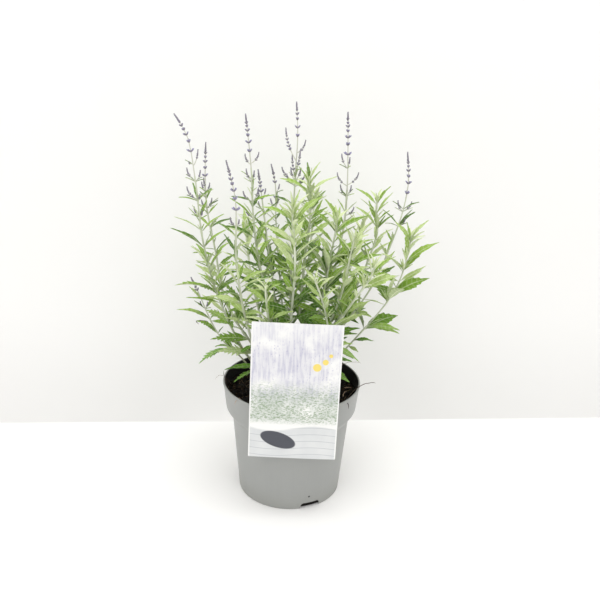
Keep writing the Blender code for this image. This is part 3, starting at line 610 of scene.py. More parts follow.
def turned(profile: Array, sides: int) -> Array:
    """Turn a profile round the Z axis: a ring's point is (r cos a, r sin a, z).

    Args:
        profile: Radius and height of each point, from the axis and back to it (points, 2).
        sides: Points in a ring.

    Returns:
        The first point, the rings and the last point.
    """
    angles = np.arange(sides) * 2 * np.pi / sides
    radius, height = profile[1:-1, 0, None], profile[1:-1, 1, None]
    rings = np.stack([radius * np.cos(angles), radius * np.sin(angles),
                      np.broadcast_to(height, (len(profile) - 2, sides))], axis=-1)
    ends = np.array([(0.0, 0.0, profile[0, 1]), (0.0, 0.0, profile[-1, 1])])
    return np.concatenate([ends[:1], rings.reshape(-1, 3), ends[1:]])


def arc(curve: Array, share: Array) -> Array:
    """Points of quadratic curves.

    With s the share, a point is (1 - s)^2 times the first, plus 2 s (1 - s) times the second,
    plus s^2 times the third control point.

    Args:
        curve: Control points (..., 3, 3).
        share: Places from 0 to 1 (steps,).

    Returns:
        Points (..., steps, 3).
    """
    s = np.asarray(share, dtype=float)[:, None]
    start, middle, end = (curve[..., None, point, :] for point in range(3))
    return start * (1 - s) ** 2 + 2 * middle * s * (1 - s) + end * s ** 2


def compass(angle: float) -> Array:
    """Level direction at an angle in radians: (cos a, sin a, 0)."""
    return np.array((math.cos(angle), math.sin(angle), 0.0))


def lengths_along(line: Array) -> Array:
    """Length of a line of straight pieces, from its start to each of its points."""
    return np.concatenate([[0.0], np.cumsum(np.linalg.norm(np.diff(line, axis=0), axis=1))])


def points_at(line: Array, marks: Array, places: Array | float) -> Array:
    """Points of a line of straight pieces at places on a scale of marks that its points have."""
    return np.stack([np.interp(places, marks, line[:, axis]) for axis in range(3)], axis=-1)


def walk(line: Array, spacing: float) -> Array:
    """Points along a line of straight pieces, at even spacing."""
    lengths = lengths_along(line)
    return points_at(line, lengths, np.arange(0.0, lengths[-1], spacing))


def grid_faces(rows: int, columns: int) -> Array:
    """Quads of a grid, each from its low corner along the row, then up.

    Args:
        rows: Rows of points.
        columns: Points in a row.

    Returns:
        Corner numbers (quads, 4).
    """
    number = np.arange(rows * columns).reshape(rows, columns)
    corners = [number[:-1, :-1], number[:-1, 1:], number[1:, 1:], number[1:, :-1]]
    return np.stack(corners, axis=-1).reshape(-1, 4)


def toned(shape: tuple[int, int], *tones: Array | float) -> Array:
    """The four tones of points, each spread over all shapes and all points of a shape."""
    return np.stack([np.broadcast_to(tone, shape) for tone in tones], axis=-1)


def scattered(rng: Draws, count: int, edge: float) -> tuple[Array, Array]:
    """Even random places in a circle: the radius is the edge's times the root of a draw.

    Args:
        rng: Source of the draws.
        count: Number of places.
        edge: Radius of the circle.

    Returns:
        Places along X and along Y.
    """
    radius = edge * np.sqrt(rng.uniform(0.0, 1.0, count))
    angle = rng.uniform(0.0, 2 * np.pi, count)
    return radius * np.cos(angle), radius * np.sin(angle)


def waves(x: Array, y: Array, rng: Draws, lengths: tuple[float, float], count: int) -> Array:
    """Uneven ground: crossed sine waves of random way, phase and length, longer ones higher.

    Args:
        x: Places along X.
        y: Places along Y.
        rng: Source of the draws.
        lengths: Shortest and longest wave.
        count: Number of waves.

    Returns:
        Heights with a spread of about 1.
    """
    angle = rng.uniform(0.0, 2 * np.pi, count)
    phase = rng.uniform(0.0, 2 * np.pi, count)
    length = np.exp(rng.uniform(math.log(lengths[0]), math.log(lengths[1]), count))
    turn = (x[..., None] * np.cos(angle) + y[..., None] * np.sin(angle)) * 2 * np.pi / length + phase
    weight = np.sqrt(length)
    return (np.sin(turn) * weight).sum(axis=-1) / math.sqrt((weight ** 2).sum() / 2)


class Draft:
    """Points, faces, tones and flat places of one piece, gathered before it is a mesh."""

    def __init__(self, name: str, layer: str = "blade") -> None:
        """Start an empty draft with the name of its piece and of its flat map."""
        self.name = name
        self.layer = layer
        self.points: list[Array] = []
        self.tones: list[Array] = []
        self.places: list[Array] = []
        self.quads: list[Array] = []
        self.triangles: list[Array] = []
        self.count = 0

    def add(self, points: Array, faces: tuple[Array, Array], tone: Array,
            place: Array | None = None) -> None:
        """Add alike shapes.

        Args:
            points: Points of each shape (count, points, 3).
            faces: Corner numbers of one shape's quads and triangles.
            tone: Tones that spread over (count, points, 4).
            place: Flat places that spread over (count, points, 2), or none.
        """
        shapes, size = points.shape[:2]
        offset = self.count + np.arange(shapes)[:, None, None] * size
        quads, triangles = faces
        self.quads.append((quads[None] + offset).reshape(-1, 4))
        self.triangles.append((triangles[None] + offset).reshape(-1, 3))
        self.points.append(points.reshape(-1, 3))
        self.tones.append(np.broadcast_to(tone, (shapes, size, 4)).reshape(-1, 4))
        flat = np.array((0.5, 0.0)) if place is None else place
        self.places.append(np.broadcast_to(flat, (shapes, size, 2)).reshape(-1, 2))
        self.count += shapes * size

    def mesh(self) -> Mesh:
        """Make the mesh in metres, with its tone attribute and its flat map."""
        mesh = bpy.data.meshes.new(self.name)
        faces = np.concatenate(self.quads).tolist() + np.concatenate(self.triangles).tolist()
        mesh.from_pydata((np.concatenate(self.points) * MM).tolist(), [], faces)
        tone = mesh.attributes.new("tone", "FLOAT_COLOR", "POINT")
        tone.data.foreach_set("color", np.concatenate(self.tones).astype(np.float32).ravel())
        corners = np.empty(len(mesh.loops), dtype=np.int32)
        mesh.loops.foreach_get("vertex_index", corners)
        flat = mesh.uv_layers.new(name=self.layer)
        flat.data.foreach_set("uv", np.concatenate(self.places)[corners].astype(np.float32).ravel())
        return mesh

    def piece(self, material: Material, sharp: float = 60.0) -> Object:
        """Make the object, smooth but for its true edges.

        Args:
            material: Its finish.
            sharp: Angle in degrees past which an edge stays sharp.

        Returns:
            The object.
        """
        made = bpy.data.objects.new(self.name, self.mesh())
        made.data.materials.append(material)
        made.data.shade_smooth()
        made.data.set_sharp_from_angle(angle=math.radians(sharp))
        bpy.context.scene.collection.objects.link(made)
        return made


def settle(piece: Object, slot: str, *nodes: str) -> None:
    """Let a finished piece ride on the body and stand for its nodes.

    Args:
        piece: The piece.
        slot: The record's material slot; not used.
        nodes: The nodes that it replaces.
    """
    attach(piece, "root")
    if nodes:
        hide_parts(*nodes)
    LOG.info("%s: %d faces, for %s", piece.name, len(piece.data.polygons), ", ".join(nodes) or "no node")


# -------- pot, soil and label

@dataclass
class NurseryPot:
    """Tapered body, rounded step, straight collar and rolled rim, with notches in the foot."""

    height: float = 130.0
    rim_radius: float = 75.0
    foot_radius: float = 56.5
    wall: float = 1.3
    floor: float = 2.0
    step_bottom: tuple[float, float] = (64.2, 88.5)
    step_top: tuple[float, float] = (71.6, 102.5)
    bead: float = 1.6
    bead_radius: float = 1.15
    notches: tuple[float, ...] = (-65.0, 55.0, 175.0)
    notch_width: float = 23.0
    notch_height: float = 7.0
    notch_reach: tuple[float, float] = (48.0, 62.0)
    sides: int = 160

    def step_wall(self, offset: float, points: int = 14) -> Array:
        """The step, whose radius eases by s^2 (3 - 2 s) as its height grows evenly by s.

        Args:
            offset: How far inside the outer wall it runs.
            points: Number of points.

        Returns:
            Radius and height of each point.
        """
        share = np.linspace(0.0, 1.0, points)
        (low_r, low_z), (high_r, high_z) = self.step_bottom, self.step_top
        radius = low_r + (high_r - low_r) * share ** 2 * (3.0 - 2.0 * share)
        return np.stack([radius - offset, low_z + (high_z - low_z) * share], axis=1)

    def radius_inside(self, height: float | Array) -> float | Array:
        """Inner radius at a height."""
        wall = np.vstack([(self.foot_radius, 0.0), self.step_wall(0.0),
                          (self.rim_radius - 0.6, self.height - self.bead * 2)])
        return np.interp(height, wall[:, 1], wall[:, 0]) - self.wall

    def profile(self) -> Array:
        """The whole outline: base, foot, wall, bead as a half circle, inner wall and floor."""
        foot = [(0.0, 0.0), (self.foot_radius - 1.6, 0.0), (self.foot_radius - 0.7, 0.25),
                (self.foot_radius - 0.15, 0.9), (self.foot_radius, 2.0)]
        body = np.stack([np.linspace(self.foot_radius, self.step_bottom[0], 8)[1:-1],
                         np.linspace(2.0, self.step_bottom[1], 8)[1:-1]], axis=1)
        turn = np.linspace(0.0, np.pi, 9)
        roll = self.bead_radius
        bead = np.stack([self.rim_radius - roll + roll * np.cos(turn),
                         self.height - roll + roll * np.sin(turn)], axis=1)
        collar = [(self.rim_radius - 0.75, self.height - self.bead * 2.2),
                  (self.rim_radius - 0.1, self.height - 2.2)]
        inner = self.step_wall(self.wall)[::-1]
        floor = [(self.radius_inside(self.floor + 1.5), self.floor + 1.5),
                 (self.radius_inside(self.floor) - 1.2, self.floor), (0.0, self.floor)]
        return np.vstack([foot, body, self.step_wall(0.0), collar, bead,
                          (self.rim_radius - 2.1, self.height - self.bead * 2.4), inner, floor])

    def cutter(self) -> Object:
        """Arched blocks that reach through the wall at each notch."""
        half, top = self.notch_width / 2, self.notch_height
        arch = np.array([(-half, -1.0), (half, -1.0), (half * 0.97, top * 0.5), (half * 0.86, top * 0.9),
                         (half * 0.7, top), (-half * 0.7, top), (-half * 0.86, top * 0.9),
                         (-half * 0.97, top * 0.5)])
        angles = np.radians(self.notches)
        out = np.stack([np.cos(angles), np.sin(angles), np.zeros(len(angles))], axis=1)
        across = np.cross((0.0, 0.0, 1.0), out)
        inner, outer = self.notch_reach
        paths = out[:, None, :] * np.array((inner, inner, outer, outer))[None, :, None]
        draft = Draft("notch_cutter")
        draft.add(skins(paths, np.ones((len(paths), 4, 2)), arch, across), skin_faces(2, len(arch)),
                  np.zeros(4))
        cutter = bpy.data.objects.new("notch_cutter", draft.mesh())
        bpy.context.scene.collection.objects.link(cutter)
        return cutter

    def build(self) -> None:
        """Turn the pot, cut its notches and mark its black inner layer."""
        draft = Draft("nursery_pot", "wall")
        profile = self.profile()
        draft.add(turned(profile, self.sides)[None], skin_faces(len(profile) - 2, self.sides), np.zeros(4))
        pot = draft.piece(PotPlastic().material(), 50.0)
        cutter = self.cutter()
        cut = pot.modifiers.new("Drain notches", "BOOLEAN")
        cut.operation = "DIFFERENCE"
        cut.solver = "EXACT"
        cut.object = cutter
        whole = pot.data
        pot.data = bpy.data.meshes.new_from_object(pot.evaluated_get(bpy.context.evaluated_depsgraph_get()))
        pot.modifiers.clear()
        bpy.data.meshes.remove(whole)
        bpy.data.objects.remove(cutter)
        pot.data.name = pot.name
        self.mark_inside(pot.data)
        settle(pot, "pot", "pot")

    def mark_inside(self, mesh: Mesh) -> None:
        """Write 1 into the tone of every point on the inner wall, the floor and the notches' roof.

        Args:
            mesh: The cut pot.
        """
        places = np.empty(len(mesh.vertices) * 3)
        mesh.vertices.foreach_get("co", places)
        x, y, z = places.reshape(-1, 3).T / MM
        radius = np.hypot(x, y)
        depth = self.radius_inside(z) + self.wall - radius
        inside = np.clip((depth - 0.9) / 0.3, 0.0, 1.0) * (z > 0.1)
        lip = np.clip((self.rim_radius - 1.4 - radius) / 0.5, 0.0, 1.0)
        inside = np.where(z > self.height - self.bead * 2, lip, inside)
        tone = mesh.attributes["tone"]
        tone.data.foreach_set("color", np.repeat(inside[:, None], 4, axis=1).astype(np.float32).ravel())
        mesh.set_sharp_from_angle(angle=math.radians(50.0))


@dataclass
class PottingSoil:
    """Peaty compost with an uneven top, loose crumbs and fibres."""

    pot: NurseryPot
    top: float = 116.0
    spare: float = 0.3
    rings: int = 64
    sides: int = 160
    crumbs: int = 1300
    fibres: int = 90

    def surface(self, x: Array, y: Array) -> Array:
        """Height of the ground: the solid's two crossed waves, with finer ones on them.

        Args:
            x: Places along X.
            y: Places along Y.

        Returns:
            The heights.
        """
        rng = np.random.default_rng(SEED + 500)
        broad = 0.9 * np.sin(0.11 * x + 0.5) * np.cos(0.13 * y) + 0.5 * np.sin(0.21 * x - 0.17 * y)
        return (self.top + broad + 0.55 * waves(x, y, rng, (5.0, 22.0), 30)
                + 0.22 * waves(x, y, rng, (1.8, 5.0), 40))

    def ground(self, draft: Draft) -> None:
        """The body of soil, from the pot's floor up its wall and in over the ground.

        Args:
            draft: The draft that takes it.
        """
        bottom = self.pot.floor + GAP
        heights = np.linspace(bottom, self.top - 0.6, 24)
        wall = np.stack([self.pot.radius_inside(heights) - self.spare, heights], axis=1)
        edge = wall[-1, 0]
        inward = np.stack([edge * np.linspace(1.0, 0.02, self.rings), np.full(self.rings, self.top)], axis=1)
        profile = np.vstack([(0.0, bottom), wall, inward, (0.0, self.top)])
        points = turned(profile, self.sides)
        start = 1 + len(wall) * self.sides
        x, y = points[start:, 0], points[start:, 1]
        points[start:, 2] = self.surface(x, y)
        draft.add(points[None], skin_faces(len(profile) - 2, self.sides), np.array((0.0, 0.0, 0.5, 0.0)))

    def crumb_rows(self, draft: Draft) -> None:
        """Crumbs: short skins of five sides and random ring sizes, half sunk in the ground.

        Args:
            draft: The draft that takes it.
        """
        rng = np.random.default_rng(SEED + 501)
        x, y = scattered(rng, self.crumbs, self.pot.radius_inside(self.top) - 2.5)
        size = np.exp(rng.uniform(math.log(0.5), math.log(2.3), self.crumbs))
        centre = np.stack([x, y, self.surface(x, y) + size * 0.25], axis=1)
        way = unit(rng.normal(size=(self.crumbs, 3)))
        steps = np.array((-1.0, -0.6, 0.05, 0.65, 1.0))
        paths = centre[:, None] + way[:, None] * (steps[None, :, None] * size[:, None, None])
        rings = size[:, None, None] * rng.uniform(0.55, 1.05, (self.crumbs, 5, 2))
        points = skins(paths, rings, ring_section(5), unit(rng.normal(size=(self.crumbs, 3))))
        chance = rng.uniform(0.0, 1.0, self.crumbs)[:, None]
        draft.add(points, skin_faces(3, 5), toned((self.crumbs, 1), 1.0, 0.0, chance, chance))

    def fibre_rows(self, draft: Draft) -> None:
        """Fibres: thin bowed threads that lie on the ground.

        Args:
            draft: The draft that takes it.
        """
        rng = np.random.default_rng(SEED + 502)
        middle = np.stack(scattered(rng, self.fibres, self.pot.radius_inside(self.top) - 9.0), axis=1)
        turn = rng.uniform(0.0, np.pi, self.fibres)
        way = np.stack([np.cos(turn), np.sin(turn)], axis=1)
        length = rng.uniform(3.0, 8.0, self.fibres)
        share = np.linspace(-1.0, 1.0, 7)
        bow = rng.uniform(-0.35, 0.35, self.fibres)[:, None] * (1.0 - share ** 2)
        flat = (middle[:, None] + way[:, None] * (share * length[:, None])[..., None]
                + way[:, None, ::-1] * np.array((-1.0, 1.0)) * (bow * length[:, None])[..., None])
        height = self.surface(flat[..., 0], flat[..., 1]) + 0.25 + 0.5 * (1.0 - share ** 2)
        paths = np.concatenate([flat, height[..., None]], axis=-1)
        sizes = np.full((self.fibres, 7, 2), 0.17) * rng.uniform(0.7, 1.5, (self.fibres, 1, 1))
        upright = np.tile((0.0, 0.0, 1.0), (self.fibres, 1))
        draft.add(skins(paths, sizes, ring_section(4), upright), skin_faces(5, 4),
                  np.array((0.0, 1.0, 0.5, 0.0)))

    def build(self) -> None:
        """Make the soil with everything on it."""
        draft = Draft("potting_soil", "ground")
        self.ground(draft)
        self.crumb_rows(draft)
        self.fibre_rows(draft)
        settle(draft.piece(CompostFinish().material(), 45.0), "soil", "soil")


@dataclass
class PictureCard:
    """Coated card with round corners, its sides bent back a little, leaning on the rim."""

    width: float = 90.0
    length: float = 150.0
    thickness: float = 0.8
    centre: tuple[float, float] = (3.4, 151.8)
    turn: float = 1.0
    corner: float = 1.0
    back: float = -75.3
    bend: float = 0.7

    def lines(self, size: float, count: int) -> Array:
        """Grid lines: even ones, with closer ones in the strip of the round corners.

        Args:
            size: Width or length of the card.
            count: Number of even lines.

        Returns:
            Places of the lines.
        """
        half = size / 2
        near = half - self.corner * np.array((0.0, 0.15, 0.35, 0.6, 0.8))
        even = np.linspace(-half + self.corner, half - self.corner, count)
        return np.concatenate([-near, even, near[::-1]])

    def flat_grid(self) -> tuple[Array, Array]:
        """Grid over the card.

        In a corner's square the place (a, b) moves to a round corner: a times the root of
        1 - b b / 2, and b times the root of 1 - a a / 2.

        Returns:
            Places across and up (rows, columns).
        """
        up, across = np.meshgrid(self.lines(self.length, 33), self.lines(self.width, 21), indexing="ij")
        a = np.clip((np.abs(across) - self.width / 2 + self.corner) / self.corner, 0.0, 1.0)
        b = np.clip((np.abs(up) - self.length / 2 + self.corner) / self.corner, 0.0, 1.0)
        both = (a > 0.0) & (b > 0.0)
        move_a = np.where(both, a * np.sqrt(1.0 - b * b / 2) - a, 0.0) * self.corner
        move_b = np.where(both, b * np.sqrt(1.0 - a * a / 2) - b, 0.0) * self.corner
        return across + np.sign(across) * move_a, up + np.sign(up) * move_b

    def build(self) -> None:
        """Make both faces and the edge between them."""
        across, up = self.flat_grid()
        rows, columns = across.shape
        turn = math.radians(self.turn)
        x = self.centre[0] + across * math.cos(turn) + up * math.sin(turn)
        z = self.centre[1] + up * math.cos(turn) - across * math.sin(turn)
        bent = self.back + self.bend * (2 * across / self.width) ** 2
        front = np.stack([x, bent - self.thickness, z], axis=-1)
        rear = np.stack([x, bent, z], axis=-1)
        face = grid_faces(rows, columns)
        number = np.arange(rows * columns).reshape(rows, columns)
        rim = np.concatenate([number[0, :-1], number[:-1, -1], number[-1, :0:-1], number[:0:-1, 0]])
        after = np.roll(rim, -1)
        total = rows * columns
        edge = np.stack([rim, rim + total, after + total, after], axis=-1)
        quads = np.concatenate([face, face[:, ::-1] + total, edge])
        points = np.concatenate([front.reshape(-1, 3), rear.reshape(-1, 3)])
        flat = np.stack([across / self.width + 0.5, up / self.length + 0.5], axis=-1).reshape(-1, 2)
        tone = np.zeros((2 * total, 4))
        tone[:total] = 1.0
        draft = Draft("picture_card", "print")
        draft.add(points[None], (quads, NO_TRIANGLES), tone[None], np.tile(flat, (2, 1))[None])
        settle(draft.piece(CardPrint().material(), 40.0), "label", "label_card")


@dataclass
class CardStake:
    """White strip that stands in the soil, bends to behind the card and ends in a point."""

    width: float = 9.0
    thickness: float = 1.2
    x: float = 4.0
    route: tuple[tuple[float, float], ...] = ((-62.0, 94.0), (-62.0, 121.0), (-73.9, 176.0),
                                              (-73.9, 226.0), (-73.9, 231.0))

    def build(self) -> None:
        """Carry a rounded strip section up the bent route, drawn to a point at its top."""
        knots = np.array(self.route)
        z = np.concatenate([np.linspace(94.0, 226.0, 45), np.linspace(226.5, 230.9, 9)])
        y = sum(np.interp(z + shift, knots[:, 1], knots[:, 0]) for shift in np.linspace(-5.0, 5.0, 11)) / 11
        y = np.maximum(y, knots[-1, 0])
        path = np.stack([np.full(len(z), self.x), y, z], axis=1)
        path = np.vstack([path[:1], path, path[-1:]])
        narrow = np.clip((231.2 - path[:, 2]) / 7.4, 0.0, 1.0) ** 0.95
        sizes = np.stack([self.width / 2 * narrow, np.full(len(path), self.thickness / 2)], axis=1)
        angles = np.radians((8, 40, 140, 172, 188, 220, 320, 352))
        corners = np.stack([np.cos(angles), np.sin(angles)], axis=1)
        section = np.sign(corners) * np.abs(corners) ** 0.25
        draft = Draft("card_stake", "strip")
        draft.add(skins(path[None], sizes[None], section, np.array([(1.0, 0.0, 0.0)])),
                  skin_faces(len(path) - 2, len(section)), np.zeros(4))
        settle(draft.piece(WhitePlastic().material(), 40.0), "label", "label_stake")


# -------- stems and the plan of their leaves

@dataclass(frozen=True)
class BladeForm:
    """Form of a kind of blade.

    Attributes:
        room: Width by length that the plan keeps for it.
        breadth: Width by length as drawn.
        teeth: Teeth on each side.
        sinus: Share of the half width that is left between teeth.
        sweep: How far the tooth tips reach forward, by the half width.
        fold: Rise of the two halves over their width.
        corners: Points round its section, six for a large blade and four for a small one.
    """

    room: float
    breadth: float
    teeth: int
    sinus: float
    sweep: float
    fold: float
    corners: int

    def stations(self) -> tuple[Array, Array, Array]:
        """Places along the midrib: one on the stalk, then hollows and tooth tips in turn.

        Returns:
            The places, the share of the half width kept there, and the forward sweep.
        """
        hollows = np.linspace(0.22, 0.92, self.teeth + 1)
        tips = hollows[:-1] + (hollows[1] - hollows[0]) * 0.56
        places = np.concatenate([[0.1], hollows, tips])
        kept = np.concatenate([[1.0], np.full(self.teeth + 1, self.sinus), np.ones(self.teeth)])
        kept[1], kept[self.teeth + 1] = 0.9, 0.95
        sweep = np.concatenate([[0.0], np.full(self.teeth + 1, self.sweep * 0.4),
                                np.full(self.teeth, self.sweep)])
        order = np.argsort(places)
        return places[order], kept[order], sweep[order]


class Blade(Enum):
    """Kinds of leaf blade."""

    LOBED = BladeForm(0.36, 0.30, 6, 0.36, 1.1, 0.16, 6)
    TOOTHED = BladeForm(0.29, 0.25, 5, 0.44, 1.0, 0.22, 6)
    NARROW = BladeForm(0.21, 0.19, 3, 0.78, 0.6, 0.30, 6)
    BROAD = BladeForm(0.34, 0.31, 5, 0.84, 0.5, 0.16, 6)
    SLENDER = BladeForm(0.26, 0.225, 4, 0.86, 0.5, 0.24, 6)
    THREAD = BladeForm(0.15, 0.13, 2, 0.90, 0.4, 0.36, 4)
    TUFT = BladeForm(0.27, 0.21, 2, 0.90, 0.4, 0.42, 4)
    SHOOT = BladeForm(0.20, 0.20, 2, 0.86, 0.5, 0.36, 4)


@dataclass
class Leaf:
    """A leaf: three control points of its midrib, the way its upper face looks, and its looks."""

    curve: Array
    facing: Array
    blade: Blade
    youth: float = 0.3

    def length(self) -> float:
        """Length of the midrib, near enough."""
        start, middle, end = self.curve
        return float(np.linalg.norm(middle - start) + np.linalg.norm(end - middle)
                     + np.linalg.norm(end - start)) / 2

    def cells(self, step: float, across: int) -> tuple[Array, Array]:
        """Points all over the blade.

        Args:
            step: Spacing along the midrib.
            across: Number of points over the width.

        Returns:
            Points (across, steps, 3), and their places along the midrib.
        """
        t = np.linspace(0.0, 1.0, 2 + int(self.length() / step))
        start, middle, end = self.curve
        ways = unit((middle - start) * (1 - t[:, None]) + (end - middle) * t[:, None])
        sides = unit(np.cross(ways, self.facing))
        reach = self.length() * self.blade.value.room / 2
        half = (reach * np.sin(np.pi * t ** 0.8) ** 0.7)[:, None]
        line = arc(self.curve, t)
        return np.stack([line + sides * half * share for share in np.linspace(-1.0, 1.0, across)]), t


@dataclass
class Stem:
    """A stem, with its leaves.

    Attributes:
        name: Its name, a number of two digits.
        route: Points from the soil up.
        bloom_from: Height from which it blooms, or None for a leafy tip.
        leaf_from: Height of its first large leaves.
        turn: Compass turn of that pair in degrees.
        leaf_length: Length of the lowest large leaves.
        young: How young and pale its top looks, from 0 to 1.
        nodes: Height and turn of each pair of large leaves.
        leaves: All leaves that have found their place.
        rng: Source of the draws of the work that goes on.
    """

    name: str
    route: list[Point]
    bloom_from: float | None
    leaf_from: float
    turn: float
    leaf_length: float
    young: float = 0.28
    nodes: list[tuple[float, float]] = field(default_factory=list)
    leaves: list[Leaf] = field(default_factory=list)
    rng: Draws | None = None

    def number(self) -> int:
        """Its name as a number."""
        return int(self.name)

    def draws(self, series: int) -> Draws:
        """A source of draws of its own for each series of work."""
        return np.random.default_rng(SEED * series + self.number())

    def knots(self) -> Array:
        """Straight up through its hole in the soil, then along the route."""
        x, y, ground = self.route[0]
        return np.array([(x, y, 103.0), (x, y, ground + 1.5), *self.route[1:]], dtype=float)

    def top(self) -> float:
        """Height of the end of the leafy part."""
        return self.route[-1][2] if self.leafy() else self.bloom_from

    def leafy(self) -> bool:
        """Whether it ends in leaves, not in a flower spike."""
        return self.bloom_from is None

    def dense(self) -> bool:
        """Whether its top is a thick head of young leaves."""
        return self.young > 0.8

    def share(self, height: float) -> float:
        """Share of the way from the first large leaves to the top."""
        return (height - self.leaf_from) / (self.top() - self.leaf_from)

    def straight(self, height: float) -> Array:
        """The point at a height on straight lines between the knots, as in the solids."""
        line = self.knots()
        return points_at(line, line[:, 2], height)

    def smooth(self, heights: Array) -> Array:
        """Points on a cubic curve through the knots, with x and y as functions of the height.

        Between two knots a height h apart, with s the share of the way, the place is
        (1 + 2 s)(1 - s)^2 times the lower plus s^2 (3 - 2 s) times the upper knot, plus h
        times s (1 - s)^2 times the lower and minus s^2 (1 - s) times the upper slope.

        Args:
            heights: Heights of the points.

        Returns:
            Points (count, 3).
        """
        line = self.knots()
        z = line[:, 2]
        slope = np.gradient(line[:, :2], z, axis=0)
        heights = np.clip(np.atleast_1d(np.asarray(heights, dtype=float)), z[0], z[-1])
        low = np.clip(np.searchsorted(z, heights, side="right") - 1, 0, len(z) - 2)
        h = (z[low + 1] - z[low])[:, None]
        s = (heights[:, None] - z[low][:, None]) / h
        flat = ((1 + 2 * s) * (1 - s) ** 2 * line[low, :2] + s ** 2 * (3 - 2 * s) * line[low + 1, :2]
                + h * s * (1 - s) ** 2 * slope[low] - h * s ** 2 * (1 - s) * slope[low + 1])
        return np.column_stack([flat, heights])


STEMS = {name: Stem(name, *row) for name, row in {
    "01": ([(-29, 5, 116), (-56, -5, 171), (-82, -15, 240), (-92, -20, 285), (-99, -25, 353),
        (-103, -25, 382), (-106, -25, 395), (-111, -25, 405), (-118, -25, 416)], 357, 160, 20, 44),
    "02": ([(-24, 14, 116), (-74, 12, 216), (-85, 12, 277), (-92, 14, 312), (-94, 15, 351),
        (-93, 15, 383)], 334, 190, 60, 37),
    "03": ([(-31, -10, 116), (-45, -28, 195), (-52, -38, 231), (-57, -50, 279), (-59, -60, 353),
        (-66, -60, 380)], 326, 166, 10, 46),
    "04": ([(-17, 5, 116), (-29, -5, 231), (-38, -12, 273), (-43, -18, 319), (-45, -20, 362),
        (-48, -20, 392), (-51, -20, 417)], 366, 178, 0, 42),
    "05": ([(-13, 18, 116), (-34, 28, 306), (-37, 30, 327), (-41, 30, 354)], 326, 170, 45, 39),
    "06": ([(-7, 24, 116), (-22, 44, 300), (-24, 45, 340), (-28, 45, 357)], 330, 180, 90, 39),
    "07": ([(-2, 12, 116), (-4, 12, 274), (-3, 10, 328), (-2, 10, 362), (-1, 10, 393), (-3, 10, 426)],
        362, 186, 5, 39),
    "08": ([(9, 18, 116), (45, 15, 269), (50, 15, 307), (51, 15, 344), (50, 15, 377), (48, 15, 417)],
        339, 190, 30, 39),
    "09": ([(18, 5, 116), (85, 5, 246), (99, 2, 288), (108, 0, 324), (111, 0, 351), (108, 0, 382)], 335,
        196, 75, 37),
    "10": ([(-4, -12, 116), (-2, -30, 223), (0, -45, 279), (-3, -52, 320), (-4, -54, 337)], None, 150, 0,
        48, 0.82),
    "11": ([(5, 3, 116), (10, 5, 266), (14, 0, 315), (12, 0, 352)], None, 176, 40, 43, 0.4),
    "12": ([(13, -5, 116), (30, -15, 233), (36, -22, 283), (40, -25, 313), (40, -25, 323)], None, 160,
        15, 48, 0.5),
    "13": ([(23, 18, 116), (77, 20, 261), (85, 20, 294), (83, 20, 313), (83, 20, 332)], None, 190, 10,
        39, 0.5),
    "14": ([(29, 0, 116), (67, -5, 183), (79, -6, 199), (96, -8, 224), (108, -10, 250), (115, -10, 282),
        (117, -10, 300)], None, 192, 35, 52, 0.45),
    "15": ([(18, -14, 116), (51, -30, 257), (56, -35, 293), (58, -35, 305)], None, 168, 60, 52, 0.5),
    "16": ([(12, -22, 116), (47, -38, 216), (62, -44, 244), (74, -50, 267), (79, -50, 283)], None, 150,
        20, 43, 0.55),
    "17": ([(33, -27, 116), (34, -47, 217), (26, -55, 249), (19, -60, 268)], None, 146, 70, 44, 0.5),
    "18": ([(-36, 0, 116), (-58, -8, 161), (-72, -10, 175), (-84, -10, 194), (-92, -10, 212),
        (-98, -10, 228), (-107, -10, 248)], 227, 166, 80, 35),
    "19": ([(-20, 30, 116), (-48, 62, 220), (-55, 74, 265), (-57, 78, 287)], None, 170, 25, 52, 0.55),
    "20": ([(6, 32, 116), (14, 66, 220), (18, 84, 280), (20, 90, 318)], None, 165, 65, 52, 0.55),
    "21": ([(24, 30, 116), (54, 58, 215), (70, 68, 265), (76, 70, 296)], None, 165, 15, 52, 0.55),
    "22": ([(-8, -26, 116), (-20, -46, 190), (-26, -58, 232), (-28, -64, 262)], None, 140, 50, 43, 0.5),
}.items()}

# Thickness by the usual stem, where it differs.
THICKNESS = {"02": 0.85, "03": 1.15, "04": 1.05, "05": 0.8, "06": 0.8, "09": 0.85, "10": 1.2, "14": 0.64,
             "17": 0.8, "18": 0.65}

# Stems with deeply cut leaves, stems that are bare at the foot, and those whose whorls begin
# a quarter turn on.
DEEPLY_CUT = ("01", "02", "03", "18", "22")
BARE_FOOT = ("01", "03", "14", "18")
TURNED_WHORLS = ("01", "07")

# Distances from the tip of each flower spike to its whorls.
WHORLS = {
    "01": (10.2, 13.6, 17.8, 22.9, 30.1, 39.1), "02": (11.9, 15.8, 20.5, 26.8, 34.6),
    "03": (11.6, 14.6, 18.8, 23.4, 29.6, 37.4, 48.0), "04": (9.4, 12.4, 16.4, 21.2, 27.6, 36.0),
    "05": (8.9, 11.4, 15.0, 18.8, 23.9, 31.1), "06": (11.5, 15.6, 20.3, 27.5, 37.0),
    "07": (8.8, 12.7, 17.5, 25.6, 33.9), "08": (8.3, 11.6, 15.0, 19.6, 25.6, 32.8, 42.5),
    "09": (11.9, 15.4, 19.6, 25.4, 32.0, 42.1),
}

# Side branches of flower spikes: where each leaves its stem and where it ends.
SPIKE_BRANCHES = {
    "01": [((-100, -25, 367), (-96, -25, 383))],
    "04": [((-46, -20, 369), (-51, -24, 380)), ((-46, -20, 370), (-38, -18, 381))],
    "07": [((-2, 10, 368), (-13, 15, 400)), ((-1, 10, 376), (7, 5, 390))],
    "08": [((51, 15, 343), (40, 12, 357)), ((51, 15, 344), (62, 16, 357))],
}

